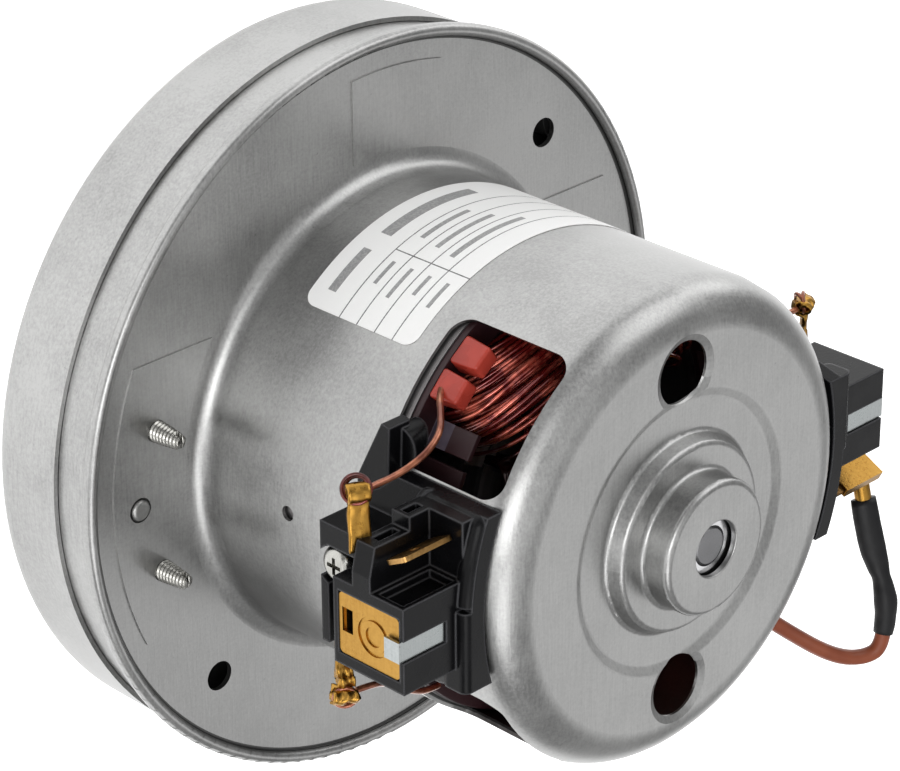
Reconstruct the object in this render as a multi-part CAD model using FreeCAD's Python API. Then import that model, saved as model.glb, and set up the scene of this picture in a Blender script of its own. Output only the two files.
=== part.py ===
import FreeCAD, Part
import math
import os

# Vacuum cleaner motor: a drawn steel frame with a fan stage below it and a
# carbon brush holder on each side. Millimetres. Z is the shaft axis, Z = 0 is
# the flat intake face it stands on, and brush holder A points along +X.

V = FreeCAD.Vector

# Frame, one drawn steel sheet
SHEET = 1.0
PLATE_Z = 25.0
BODY_R = 42.0
BODY_FILLET = 3.5
CAP_Z = 93.7
SHOULDER_R = 7.5
CAP_FLAT_R = BODY_R - 17.2
CAP_GROOVE_R = CAP_FLAT_R - 1.8
GROOVE_DEPTH = 0.9
RING_R = 16.2
RING_RISE = 2.6
BOSS_R = 11.7
BOSS_RISE = 7.3
BOSS_HOLE_R = 4.85
BEAD_OUT_R = 67.1
BEAD_IN_R = BEAD_OUT_R - 2.2
BEAD_RISE = 1.4
SKIRT_R = BEAD_OUT_R - 2.1
SKIRT_LOW_Z = 6.0
PAD_HALF = 25.4
PAD_RISE = 0.3
PAD_R_MIN = BODY_R + 4.2
PAD_R_MAX = SKIRT_R - 4.0
WINDOW_AZ = 42.8
WINDOW_WIDTH = 25.4
WINDOW_LOW_Z = 64.8
WINDOW_HIGH_Z = 89.0
WINDOW_CORNER_R = 3.6
MOUNT_HOLE_R = 2.7
MOUNT_HOLE_PCR = SKIRT_R - 9.8
MOUNT_HOLE_AZ = 43.8
CAP_HOLE_R = 5.5
CAP_HOLE_PCR = 28.5
CAP_HOLE_FLARE = 1.3
DIMPLE_R = 1.3
DIMPLE_Z = 46.0
DIMPLE_AZ = -2.7

# Fan cover, a shallow drawn cup pressed over the frame's skirt
COVER_SHEET = 0.8
COVER_RIM_Z = 16.0
COVER_CORNER_R = 4.0
EYE_R = 16.0
EYE_LIP_Z = 3.4
PRESS_GAP = 0.1

# Load bearing bracket across the frame's mouth
BRACKET_THICK = 2.0
BRACKET_REACH = SKIRT_R - 5.0
BRACKET_END_HALF = 24.6
BRACKET_WAIST_HALF = 15.5
BRACKET_WAIST_REACH = 34.0
BRACKET_CUP_R = 12.8
BRACKET_CUP_TOP_Z = 31.0
BRACKET_LIP_R = 7.4
SCREW_X = SKIRT_R - 13.8
SCREW_Y = 12.9
SCREW_R = 1.9
SCREW_HEAD_R = 3.6
SCREW_HEAD_THICK = 2.2
SCREW_OUT = 6.4
PIN_X = SKIRT_R - 9.5
PIN_R = 1.9

# Ball bearings: bore radius, outer radius and width
FAN_BEARING = (4.0, 11.0, 7.0)
CAP_BEARING = (3.5, 9.5, 6.0)
FAN_BEARING_Z = 22.4
BEARING_GAP = 0.02
WASHER_HIGH = 0.5

# Fan
DIFFUSER_R = SKIRT_R - 5.5
DIFFUSER_THICK = 1.6
DIFFUSER_Z = 13.8
RETURN_VANES = 9
IMPELLER_R = SKIRT_R - 7.5
IMPELLER_SHEET = 0.7
BACK_PLATE_Z = 11.4
SHROUD_EYE_R = 17.4
SHROUD_EYE_Z = 2.3
SHROUD_RIM_Z = 5.6
BLADES = 7
BLADE_IN_R = 20.0
HUB_WASHER_R = 10.0
HUB_WASHER_THICK = 1.2
SPACER_R = 6.5
NUT_ACROSS = 13.0
NUT_HIGH = 6.3

# Rotor
SHAFT_R = FAN_BEARING[0]
SHAFT_TAIL_R = CAP_BEARING[0]
SHAFT_LOW_Z = 3.6
SHAFT_TOP_Z = CAP_Z + 6.0
CORE_Z = 40.0
CORE_LENGTH = 26.0
ARMATURE_R = 0.4524 * BODY_R
SLOTS = 12
SLOT_WIDTH = 0.168 * ARMATURE_R
SLOT_FLOOR_R = 0.553 * ARMATURE_R
SLOT_MOUTH = 0.095 * ARMATURE_R
TOOTH_TIP = 1.8
TURN_END = 7.4
COMMUTATOR_R = 11.5
COMMUTATOR_LIFT = 0.1
COMMUTATOR_LENGTH = 14.4
COMMUTATOR_HUB_R = 8.2
RISER_R = 13.2
RISER_THICK = 1.4
BARS = 24
BAR_GAP = 0.5

# Field core, coils and their insulation
CORE_OUT_R = BODY_R - SHEET - PRESS_GAP
YOKE = 5.9
AIR_GAP = 0.6
SHOE = 4.4
SHOE_ARC = 64.0
NECK_ARC = 37.0
COIL_GAP = 0.6
COIL_IN_ARC = 38.6
COIL_OUT_ARC = 73.0
COIL_END = 13.4
WIRE_D = 0.9
TURNS = 11
TURN_PITCH = 1.35
TURN_CORNER_R = 4.0
INSULATOR_THICK = 1.2
INSULATOR_R = BODY_R - 6.7
TAB_WIDTH = 4.4
TAB_HIGH = 9.0
TAB_THICK = 0.9
TAB_AZ = (24.0, 34.0)
HOUSING_AZ = (44.5, 53.6)
HOUSING_SIZE = (3.6, 4.8, 5.4)

# Brush gear, drawn for holder A and turned half round for holder B
BRUSH_Z = 80.9
BRUSH_THICK = 6.4
BRUSH_WIDE = 11.0
BRUSH_LENGTH = 21.0
BRUSH_LIFT = 0.1
SLIDE_GAP = 0.1
TUBE_WALL = 0.5
TUBE_START_X = 14.2
HOLDER_FACE_X = BODY_R + 15.6
HOLDER_HALF_Y = 7.5
HOLDER_HALF_Z = 7.65
HOLDER_SEAT_GAP = 0.2
HOLDER_SLEEVE_WALL = 1.5
SADDLE_OUT_R = BODY_R + 3.0
SADDLE_DEEP = 14.0
SADDLE_Y = (-17.6, 14.8)
SADDLE_Z = (64.5, 90.6)
SADDLE_SLOPE = ((SADDLE_Y[0], 71.0), (-15.0, 68.0), (-13.0, SADDLE_Z[0]))
SADDLE_TAPER = (9.6, 3.2)
ROLL_R = 1.8
ROLL_PATH_R = SADDLE_OUT_R - 0.6
ROLL_LOW_Z = 77.0
COLLAR_R = 2.2
COLLAR_LONG = 0.9
CLAMP_X = BODY_R + 4.4
CLAMP_LOW_Z = 85.2
CLAMP_Y = -2.6
CLAMP_SLIT = 0.6
POCKET_X = BODY_R + 2.8
POCKET_WALL = 3.9
WELL_DEEP = 1.4
WELL_RIM = 1.0
SHROUD_Y = -17.4
SHROUD_FRONT_Y = -15.0
SHROUD_STEP_X = BODY_R + 7.0
SHROUD_LEAN = (1.2, 5.0)
SHROUD_SLOTS_X = ((BODY_R + 3.0, BODY_R + 6.2), (BODY_R + 8.0, BODY_R + 12.4))
SHROUD_SLOT_WIDE = 1.5
SHROUD_SLOT_DEEP = 3.0
SCREW_BLOCK_X = BODY_R + 7.6
SCREW_BLOCK_Y = (-11.8, 2.0)
SCREW_POINT = (-4.4, 67.2)
SCREW_CAP_R = 3.2
SCREW_CAP_HIGH = 2.2
SCREW_ROOM = 0.3
SCREW_SHANK_R = 1.25
SCREW_SHANK_LONG = 4.8
WING_X = BODY_R + 10.0
WING_Y = (-11.8, 9.6)
WING_THICK = 1.6
FIN_X = (BODY_R - 5.0, BODY_R - 0.4)
FIN_OUTLINE = ((-12.4, 62.1), (-15.0, 62.3), (-25.8, 67.8), (-25.5, 69.5), (-14.0, 69.0), (-12.4, 69.0))
POST_R = 3.4
POST_X = (BODY_R - 9.0, BODY_R - 3.2)
POST_AT = (-21.2, 69.0)
END_PLATE_THICK = 0.6
END_PLATE_SINK = 0.2
EMBOSS_R = (3.4, 2.7, 1.7)
EMBOSS_UP = 0.9
EMBOSS_DEEP = 0.25
SPRING_WIRE = 0.7
SPRING_MEAN_R = 2.3
SPRING_TURNS = 7
STRIP_WIDE = 3.6
STRIP_THICK = 0.5
STRIP_SINK = 0.9
STRIP_START_X = BODY_R + 6.5
END_PLATE_HALF = (5.4, 6.6)
TAB_BLADE_WIDE = 4.8
TAB_BLADE_THICK = 0.8
TAB_BLADE_LENGTH = 10.4
TAB_BLADE_LEAN = -63.0
TAB_BLADE_AT = (-13.4, 84.5)
TAB_ROOM = 3.1
TAB_HOLE_R = 0.9
TAB_HOLE_IN = 4.4
TANG_THICK = 0.8
TANG_X = BODY_R + 13.0
TANG_WIDE = 4.6
TANG_GAP = 0.05
TANG_UPPER_Y = (-12.4, -24.2)
TANG_LOWER_Y = (4.0, 17.4)
CRIMP_LONG = 4.0
CRIMP_IN = 2.2

# Label on the body
LABEL_THICK = 0.12
LABEL_Z = (35.5, 60.7)
LABEL_AZ = (-124.0, -48.6)
LABEL_CORNER_R = 2.4

# Leads
LEAD_R = 0.55
SUPPLY_R = 1.4
SLEEVE_R = 2.5
NECK_R = 1.5
NECK_LONG = 6.0
FIELD_LEAD = [(BODY_R - 13.6, -27.6, 67.9), (BODY_R - 10.6, -27.7, 70.3), (BODY_R - 7.8, -26.9, 73.4),
              (BODY_R - 4.8, -26.0, 76.4), (BODY_R - 1.4, -24.4, 77.4), (BODY_R + 2.0, -22.9, 77.0),
              (BODY_R + 5.2, -22.1, 76.6), (BODY_R + 8.2, -22.0, 76.4), (BODY_R + 10.7, -22.0, 76.4)]
TAIL_LEAD = [(BODY_R + 10.7, 15.2, 73.6), (BODY_R + 8.2, 15.2, 73.6), (BODY_R + 4.8, 16.6, 72.4),
             (BODY_R + 1.4, 18.8, 70.9), (BODY_R - 1.8, 21.4, 69.9), (BODY_R - 5.0, 23.6, 69.5),
             (BODY_R - 8.4, 25.2, 69.1), (BODY_R - 11.8, 26.0, 68.2)]
SLEEVE_ROUTE = [(-BODY_R - 17.7, 20.2, 84.0), (-BODY_R - 17.5, 27.7, 86.1), (-BODY_R - 17.8, 34.7, 89.2),
                (-BODY_R - 17.05, 39.8, 91.07), (-BODY_R - 16.0, 43.8, 91.2)]
SUPPLY_LEAD = [(-BODY_R - 16.0, 43.8, 91.2), (-BODY_R - 15.3, 46.5, 91.3), (-BODY_R - 13.4, 47.9, 90.0),
               (-BODY_R - 10.2, 47.6, 88.5), (-BODY_R - 6.8, 45.9, 87.3), (-BODY_R - 3.2, 43.3, 86.2),
               (-BODY_R + 0.6, 40.1, 85.3), (-BODY_R + 4.6, 36.6, 84.2), (-BODY_R + 8.6, 32.8, 82.3),
               (-BODY_R + 12.2, 29.9, 79.6), (-BODY_R + 14.4, 28.0, 76.8), (-BODY_R + 14.4, 28.0, 73.8)]

BOSS_Z = CAP_Z + BOSS_RISE
FRAME_IN_R = BODY_R - SHEET
PLATE_LOW_Z = PLATE_Z - SHEET
CORE_TOP_Z = CORE_Z + CORE_LENGTH
COMMUTATOR_Z = CORE_TOP_Z + TURN_END + COMMUTATOR_LIFT
YOKE_IN_R = CORE_OUT_R - YOKE
BORE_R = ARMATURE_R + AIR_GAP
COIL_IN_R = BORE_R + SHOE + COIL_GAP
WIRE_R = WIRE_D / 2
COIL_WIRE_R = YOKE_IN_R - WIRE_R - 0.5
COIL_OUT_R = COIL_WIRE_R - WIRE_R - 0.3
CAP_BEARING_Z = BOSS_Z - SHEET - WASHER_HIGH - CAP_BEARING[2]
PLATE_X = HOLDER_FACE_X - END_PLATE_THICK - END_PLATE_SINK
POCKET_Z_LOW = TAB_BLADE_AT[1] - TAB_ROOM
SHROUD_LOW_Z = POCKET_Z_LOW - POCKET_WALL
SCREWS_LOW_Z = PLATE_LOW_Z - BRACKET_THICK - SCREW_HEAD_THICK


def at(radius, azimuth, height=0.0):
    turn = math.radians(azimuth)
    return V(radius * math.cos(turn), radius * math.sin(turn), height)


def box(low, high):
    size = high.sub(low)
    return Part.makeBox(size.x, size.y, size.z, low)


def disc(radius, low, high, centre=(0.0, 0.0)):
    return Part.makeCylinder(radius, high - low, V(centre[0], centre[1], low))


def ring(outer, inner, low, high):
    return disc(outer, low, high).cut(disc(inner, low - 1, high + 1))


def turned(shape, azimuth):
    copy = shape.copy()
    copy.rotate(V(0, 0, 0), V(0, 0, 1), azimuth)
    return copy


def joined(shapes):
    whole = shapes[0]
    if len(shapes) > 1:
        whole = shapes[0].fuse(shapes[1:])
    return whole.removeSplitter()


def rounded_outline(points):
    """A closed wire in the XZ plane from (radius, height, corner radius) rows."""
    edges = []
    ends = []
    count = len(points)
    for i, (x, z, corner) in enumerate(points):
        here = V(x, 0, z)
        back = V(points[i - 1][0], 0, points[i - 1][1]).sub(here)
        ahead = V(points[(i + 1) % count][0], 0, points[(i + 1) % count][1]).sub(here)
        back.normalize()
        ahead.normalize()
        if corner <= 0:
            ends.append((here, None, here))
            continue
        half = back.getAngle(ahead) / 2
        reach = corner / math.tan(half)
        middle = back.add(ahead).normalize()
        apex = here.add(middle * (corner / math.sin(half) - corner))
        ends.append((here.add(back * reach), apex, here.add(ahead * reach)))
    for i, (start, apex, finish) in enumerate(ends):
        if apex:
            edges.append(Part.Arc(start, apex, finish).toShape())
        leave = ends[(i + 1) % count][0]
        if finish.distanceToPoint(leave) > 1e-6:
            edges.append(Part.LineSegment(finish, leave).toShape())
    return Part.Wire(edges)


def revolved(points, angle=360.0, start=0.0):
    face = Part.Face(rounded_outline(points))
    return turned(face.revolve(V(0, 0, 0), V(0, 0, 1), angle), start)


def sector(outer, inner, low, high, start, finish):
    return revolved([(inner, low, 0), (outer, low, 0), (outer, high, 0), (inner, high, 0)],
                    finish - start, start)


def rounded_box(low, high, axis, corner):
    """A box whose four edges along one axis are rounded."""
    block = box(low, high)
    edges = []
    for edge in block.Edges:
        run = edge.Vertexes[1].Point.sub(edge.Vertexes[0].Point)
        if abs(run.normalize().dot(axis)) > 0.99:
            edges.append(edge)
    return block.makeFillet(corner, edges)


def export(shape, name):
    shape.exportStep("parts/" + name + ".step")


# Fan cover and frame

def fan_cover():
    outer = SKIRT_R + PRESS_GAP + COVER_SHEET
    inner = outer - COVER_SHEET
    lip = EYE_R + COVER_SHEET
    return revolved([(EYE_R, 0, 0.7), (outer, 0, COVER_CORNER_R), (outer, COVER_RIM_Z, 0),
                     (inner, COVER_RIM_Z, 0),
                     (inner, COVER_SHEET, COVER_CORNER_R - COVER_SHEET),
                     (lip, COVER_SHEET, 0.3), (lip, EYE_LIP_Z, 0), (EYE_R, EYE_LIP_Z, 0)])


def frame_shell():
    t = SHEET
    ring_z = CAP_Z + RING_RISE - 0.7
    groove_z = CAP_Z - GROOVE_DEPTH
    slope = 1.2
    return revolved([
        (BOSS_HOLE_R, BOSS_Z - t, 0),
        (BOSS_HOLE_R, BOSS_Z, 0.25),
        (BOSS_R, BOSS_Z, 1.1),
        (BOSS_R, ring_z, 0.9),
        (RING_R, ring_z, 1.0),
        (RING_R + slope, groove_z, 0.9),
        (CAP_GROOVE_R, groove_z, 1.2),
        (CAP_FLAT_R, CAP_Z, 1.2),
        (BODY_R, CAP_Z, SHOULDER_R),
        (BODY_R, PLATE_Z, BODY_FILLET),
        (BEAD_IN_R, PLATE_Z, 0.4),
        (BEAD_IN_R, PLATE_Z + BEAD_RISE, 1.0),
        (BEAD_OUT_R, PLATE_Z + BEAD_RISE, 1.1),
        (BEAD_OUT_R, PLATE_Z - t, 0.9),
        (SKIRT_R, PLATE_Z - t, 0.4),
        (SKIRT_R, SKIRT_LOW_Z, 0),
        (SKIRT_R - t, SKIRT_LOW_Z, 0),
        (SKIRT_R - t, PLATE_Z - t, 0.5),
        (BODY_R - t, PLATE_Z - t, BODY_FILLET + t),
        (BODY_R - t, CAP_Z - t, SHOULDER_R - t),
        (CAP_FLAT_R, CAP_Z - t, 1.0),
        (CAP_GROOVE_R, groove_z - t, 1.0),
        (RING_R + slope - t, groove_z - t, 0.2),
        (RING_R - t, ring_z - t, 0.2),
        (BOSS_R - t, ring_z - t, 0.2),
        (BOSS_R - t, BOSS_Z - t, 0.2)])


def window_cutter():
    half = WINDOW_WIDTH / 2
    low = V(BODY_R - 12, -half, WINDOW_LOW_Z)
    high = V(BODY_R + 6, half, WINDOW_HIGH_Z)
    return rounded_box(low, high, V(1, 0, 0), WINDOW_CORNER_R)


def raised_pad():
    wide = box(V(0, -PAD_HALF, PLATE_Z), V(PAD_R_MAX, PAD_HALF, PLATE_Z + PAD_RISE))
    return wide.common(ring(PAD_R_MAX, PAD_R_MIN, PLATE_Z, PLATE_Z + PAD_RISE))


def side_pad():
    low = V(-14.5, -PAD_R_MAX, PLATE_Z)
    high = V(6.2, 0, PLATE_Z + PAD_RISE)
    return box(low, high).common(ring(PAD_R_MAX, PAD_R_MIN, PLATE_Z, PLATE_Z + PAD_RISE))


def frame_cutters():
    cutters = []
    for side in (0, 180):
        for way in (-1, 1):
            cutters.append(turned(window_cutter(), side + way * WINDOW_AZ))
            cutters.append(disc(SCREW_R + 0.02, PLATE_Z - 2, PLATE_Z + 2,
                                turned_xy(SCREW_X, way * SCREW_Y, side)))
        hole = at(MOUNT_HOLE_PCR, MOUNT_HOLE_AZ + side)
        cutters.append(disc(MOUNT_HOLE_R, PLATE_Z - 2, PLATE_Z + 2, (hole.x, hole.y)))
        cutters.append(disc(PIN_R + 0.3, PLATE_Z - 2, PLATE_Z + 2, turned_xy(PIN_X, 0, side)))
        hole = at(CAP_HOLE_PCR, 90 + side)
        cutters.append(disc(CAP_HOLE_R, CAP_Z - 4, CAP_Z + 1, (hole.x, hole.y)))
        flare = Part.makeCone(CAP_HOLE_R, CAP_HOLE_R + CAP_HOLE_FLARE, 0.6,
                              V(hole.x, hole.y, CAP_Z - 0.55))
        cutters.append(flare)
        dimple = Part.makeCylinder(DIMPLE_R, 6, V(BODY_R - 4, 0, DIMPLE_Z), V(1, 0, 0))
        cutters.append(turned(dimple, side + DIMPLE_AZ))
        reach = sleeve_half()
        slot = box(V(BODY_R - 12, -reach[0] - HOLDER_SEAT_GAP, BRUSH_Z - reach[1] - HOLDER_SEAT_GAP),
                   V(BODY_R + 4, reach[0] + HOLDER_SEAT_GAP, BRUSH_Z + reach[1] + HOLDER_SEAT_GAP))
        cutters.append(turned(slot, side))
    return cutters


def turned_xy(x, y, azimuth):
    point = turned(Part.Vertex(V(x, y, 0)), azimuth).Point
    return (point.x, point.y)


def motor_frame():
    pads = [turned(raised_pad(), 0), turned(raised_pad(), 180), side_pad()]
    shell = joined([frame_shell()] + pads)
    return shell.cut(frame_cutters()).removeSplitter()


def label():
    gap = 0.03
    strip = sector(BODY_R + gap + LABEL_THICK, BODY_R + gap, LABEL_Z[0], LABEL_Z[1],
                   LABEL_AZ[0], LABEL_AZ[1])
    ends = []
    corner = LABEL_CORNER_R
    for azimuth, inward in ((LABEL_AZ[0], 1), (LABEL_AZ[1], -1)):
        turn = azimuth + inward * math.degrees(corner / BODY_R)
        for z, up in ((LABEL_Z[0], 1), (LABEL_Z[1], -1)):
            block = box(V(BODY_R - 3, 0, 0), V(BODY_R + 3, corner + 1, corner + 1))
            block = block.cut(Part.makeCylinder(corner, 8, V(BODY_R - 4, 0, 0), V(1, 0, 0)))
            if inward > 0:
                block = block.mirror(V(0, 0, 0), V(0, 1, 0))
            if up > 0:
                block = block.mirror(V(0, 0, 0), V(0, 0, 1))
            block.translate(V(0, 0, z + up * corner))
            ends.append(turned(block, turn))
    return strip.cut(ends)


# Load bearing bracket

def bracket():
    top = PLATE_LOW_Z
    low = top - BRACKET_THICK
    outline = [(BRACKET_REACH, -BRACKET_END_HALF), (BRACKET_REACH, BRACKET_END_HALF),
               (BRACKET_WAIST_REACH + 6, BRACKET_END_HALF),
               (BRACKET_WAIST_REACH, BRACKET_WAIST_HALF)]
    corners = outline + [(-x, y) for x, y in reversed(outline[1:])]
    corners += [(-BRACKET_REACH, -BRACKET_END_HALF),
                (-BRACKET_WAIST_REACH - 6, -BRACKET_END_HALF),
                (-BRACKET_WAIST_REACH, -BRACKET_WAIST_HALF),
                (BRACKET_WAIST_REACH, -BRACKET_WAIST_HALF),
                (BRACKET_WAIST_REACH + 6, -BRACKET_END_HALF)]
    wire = Part.makePolygon([V(x, y, low) for x, y in corners + corners[:1]])
    plate = Part.Face(wire).extrude(V(0, 0, BRACKET_THICK))
    plate = plate.common(disc(SKIRT_R - SHEET - 1.5, low, top))
    cup = disc(BRACKET_CUP_R, low, BRACKET_CUP_TOP_Z)
    pins = []
    for side in (0, 180):
        x, y = turned_xy(PIN_X, 0, side)
        pin = disc(PIN_R, top - 0.5, PLATE_Z + 0.9, (x, y))
        pins.append(pin.makeFillet(0.8, [pin.Edges[0]]))
    body = joined([plate, cup] + pins)
    seat = disc(FAN_BEARING[1] + BEARING_GAP, low - 1, FAN_BEARING_Z + FAN_BEARING[2])
    lip = disc(BRACKET_LIP_R, low, BRACKET_CUP_TOP_Z + 1)
    holes = []
    for side in (0, 180):
        for way in (-1, 1):
            holes.append(disc(SCREW_R + 0.15, low - 1, top + 1,
                              turned_xy(SCREW_X, way * SCREW_Y, side)))
    return body.cut([seat, lip] + holes)


def bracket_screws():
    low = PLATE_LOW_Z - BRACKET_THICK
    tip = PLATE_Z + SCREW_OUT
    screws = []
    for side in (0, 180):
        for way in (-1, 1):
            x, y = turned_xy(SCREW_X, way * SCREW_Y, side)
            head = disc(SCREW_HEAD_R, low - SCREW_HEAD_THICK, low, (x, y))
            shank = disc(SCREW_R, low - 0.5, tip - 0.8, (x, y))
            point = Part.makeCone(SCREW_R, 0.7 * SCREW_R, 0.8, V(x, y, tip - 0.8))
            fork = box(V(x - 0.4, y - 3, tip - 1.6), V(x + 0.4, y + 3, tip + 1))
            screws.append(joined([head, shank, point]).cut(fork))
    return Part.makeCompound(screws)


# Bearings

def bearing(size, low):
    bore, outer, width = size
    track = (bore + outer) / 2
    ball = 0.23 * (outer - bore)
    land = 0.30 * (outer - bore)
    groove = Part.makeTorus(track, ball + 0.03, V(0, 0, low + width / 2))
    outer_ring = ring(outer, outer - land, low, low + width).cut(groove)
    inner_ring = ring(bore + land, bore, low, low + width).cut(groove)
    count = int(2 * math.pi * track / (2.6 * ball))
    balls = []
    for i in range(count):
        balls.append(Part.makeSphere(ball, at(track, 360.0 * i / count, low + width / 2)))
    return outer_ring, inner_ring, Part.makeCompound(balls)


def bearing_sleeve(low):
    inner = CAP_BEARING[1] + BEARING_GAP
    return ring(BOSS_R - SHEET - BEARING_GAP, inner, low, low + CAP_BEARING[2])


def wave_washer(low):
    return ring(CAP_BEARING[1] - 0.4, CAP_BEARING[1] - 2.4, low, BOSS_Z - SHEET)


# Fan stage

def curved_vane(inner, outer, thick, lean, low, high):
    """A strip along an arc from the inner to the outer radius, leaning back."""
    start = at(inner, 0)
    finish = at(outer, lean)
    chord = finish.sub(start)
    side = V(-chord.y, chord.x, 0).normalize()
    middle = start.add(chord * 0.5).add(side * (0.13 * chord.Length))
    circle = Part.Arc(start, middle, finish).toShape().Curve
    centre = circle.Center
    radius = circle.Radius
    rims = []
    for step in (-0.5, 0.5):
        rim = []
        for point in (start, middle, finish):
            ray = point.sub(centre)
            ray.normalize()
            rim.append(centre.add(ray * (radius + step * thick)))
        rims.append(rim)
    near, far = rims
    wire = Part.Wire([Part.Arc(near[0], near[1], near[2]).toShape(),
                      Part.LineSegment(near[2], far[2]).toShape(),
                      Part.Arc(far[2], far[1], far[0]).toShape(),
                      Part.LineSegment(far[0], near[0]).toShape()])
    face = Part.Face(wire)
    face.translate(V(0, 0, low))
    return face.extrude(V(0, 0, high - low))


def diffuser():
    top = DIFFUSER_Z + DIFFUSER_THICK
    vane_top = SCREWS_LOW_Z - 0.2
    shapes = [ring(DIFFUSER_R, SPACER_R + 1.2, DIFFUSER_Z, top)]
    rim = SKIRT_R - SHEET - 0.3
    for i in range(RETURN_VANES):
        vane = curved_vane(24.0, rim - 0.4, 1.6, 46.0, top - 0.4, vane_top)
        shapes.append(turned(vane, 360.0 * i / RETURN_VANES))
    shapes.append(ring(BRACKET_CUP_R - 0.2, SPACER_R + 1.2, top - 0.4, FAN_BEARING_Z - 0.5))
    outer_posts = []
    for i in range(RETURN_VANES):
        post = curved_vane(DIFFUSER_R - 1.0, rim - 0.2, 1.6, 6.0, BACK_PLATE_Z - 4, vane_top)
        outer_posts.append(turned(post, 360.0 * (i + 0.4) / RETURN_VANES))
    return joined(shapes + outer_posts)


def back_plate():
    return ring(IMPELLER_R, SHAFT_R + 0.02, BACK_PLATE_Z, BACK_PLATE_Z + IMPELLER_SHEET)


def shroud_rows(step):
    low = SHROUD_EYE_Z + step
    high = SHROUD_RIM_Z + step
    return [(SHROUD_EYE_R, low), (IMPELLER_R, high)]


def front_shroud():
    low = shroud_rows(0.0)
    high = shroud_rows(IMPELLER_SHEET)
    return revolved([(low[0][0], low[0][1], 0), (low[1][0], low[1][1], 0),
                     (high[1][0], high[1][1], 0), (high[0][0], high[0][1], 0)])


def blades():
    floor = shroud_rows(IMPELLER_SHEET)
    room = revolved([(floor[0][0], floor[0][1], 0), (floor[1][0], floor[1][1], 0),
                     (IMPELLER_R, BACK_PLATE_Z, 0), (floor[0][0], BACK_PLATE_Z, 0)])
    vane = curved_vane(BLADE_IN_R, IMPELLER_R - 0.8, 0.8, 58.0, 0, BACK_PLATE_Z)
    vane = vane.common(room)
    return Part.makeCompound([turned(vane, 360.0 * i / BLADES) for i in range(BLADES)])


def hub_washer():
    return ring(HUB_WASHER_R, SHAFT_R + 0.02, BACK_PLATE_Z - HUB_WASHER_THICK, BACK_PLATE_Z)


def impeller_nut():
    high = BACK_PLATE_Z - HUB_WASHER_THICK
    low = high - NUT_HIGH
    corner = NUT_ACROSS / math.sqrt(3)
    wire = Part.makePolygon([at(corner, 60.0 * i, low) for i in range(7)])
    block = Part.Face(wire).extrude(V(0, 0, NUT_HIGH))
    return block.cut(disc(SHAFT_R + 0.02, low - 1, high + 1))


def impeller_spacer():
    return ring(SPACER_R, SHAFT_R + 0.02, BACK_PLATE_Z + IMPELLER_SHEET, FAN_BEARING_Z)


# Rotor

def shaft():
    body = disc(SHAFT_R, SHAFT_LOW_Z, CAP_BEARING_Z)
    tail = disc(SHAFT_TAIL_R, CAP_BEARING_Z - 1, SHAFT_TOP_Z)
    tail = tail.makeChamfer(0.5, [tail.Edges[0]])
    return joined([body, tail])


def slot_cutter(width, floor, mouth):
    tooth = ARMATURE_R - TOOTH_TIP
    deep = box(V(floor, -width / 2, CORE_Z - 1), V(tooth, width / 2, CORE_TOP_Z + 1))
    neck = box(V(tooth - 1, -mouth / 2, CORE_Z - 1), V(ARMATURE_R + 1, mouth / 2, CORE_TOP_Z + 1))
    return joined([deep, neck])


def armature_core():
    body = ring(ARMATURE_R, SHAFT_R + 0.02, CORE_Z, CORE_TOP_Z)
    cutter = slot_cutter(SLOT_WIDTH, SLOT_FLOOR_R, SLOT_MOUTH)
    return body.cut([turned(cutter, 360.0 * i / SLOTS) for i in range(SLOTS)])


def armature_winding():
    outer = ARMATURE_R - TOOTH_TIP - 0.2
    inner = SHAFT_R + 1.6
    gap = 0.2
    shapes = []
    for low, high in ((CORE_Z - TURN_END, CORE_Z - gap), (CORE_TOP_Z + gap, CORE_TOP_Z + TURN_END)):
        soft = 2.4
        shapes.append(revolved([(inner, low, soft), (outer, low, soft),
                                (outer, high, 0.8), (inner, high, 0.8)]))
    width = SLOT_WIDTH - 0.4
    for i in range(SLOTS):
        bar = box(V(SLOT_FLOOR_R + 0.2, -width / 2, CORE_Z - 2),
                  V(outer - 0.4, width / 2, CORE_TOP_Z + 2))
        shapes.append(turned(bar, 360.0 * i / SLOTS))
    return joined(shapes)


def commutator_hub():
    high = COMMUTATOR_Z + COMMUTATOR_LENGTH
    collar = ring(SHAFT_R + 2.6, SHAFT_R + 0.02, high, CAP_BEARING_Z - 0.02)
    return joined([ring(COMMUTATOR_HUB_R, SHAFT_R + 0.02, COMMUTATOR_Z, high), collar])


def commutator_bars():
    high = COMMUTATOR_Z + COMMUTATOR_LENGTH
    gap = math.degrees(BAR_GAP / COMMUTATOR_R)
    pitch = 360.0 / BARS
    bar = sector(COMMUTATOR_R, COMMUTATOR_HUB_R, COMMUTATOR_Z, high, gap / 2, pitch - gap / 2)
    riser = sector(RISER_R, COMMUTATOR_R - 0.5, COMMUTATOR_Z, COMMUTATOR_Z + RISER_THICK,
                   gap / 2 + 1.5, pitch - gap / 2 - 1.5)
    whole = joined([bar, riser])
    return Part.makeCompound([turned(whole, pitch * i) for i in range(BARS)])


# Field

def field_core():
    body = ring(CORE_OUT_R, YOKE_IN_R, CORE_Z, CORE_TOP_Z)
    for pole in (-90, 90):
        shoe = sector(BORE_R + SHOE, BORE_R, CORE_Z, CORE_TOP_Z, pole - SHOE_ARC, pole + SHOE_ARC)
        neck = sector(YOKE_IN_R + 1, BORE_R + 1, CORE_Z, CORE_TOP_Z, pole - NECK_ARC, pole + NECK_ARC)
        body = joined([body, shoe, neck])
    return body


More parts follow.
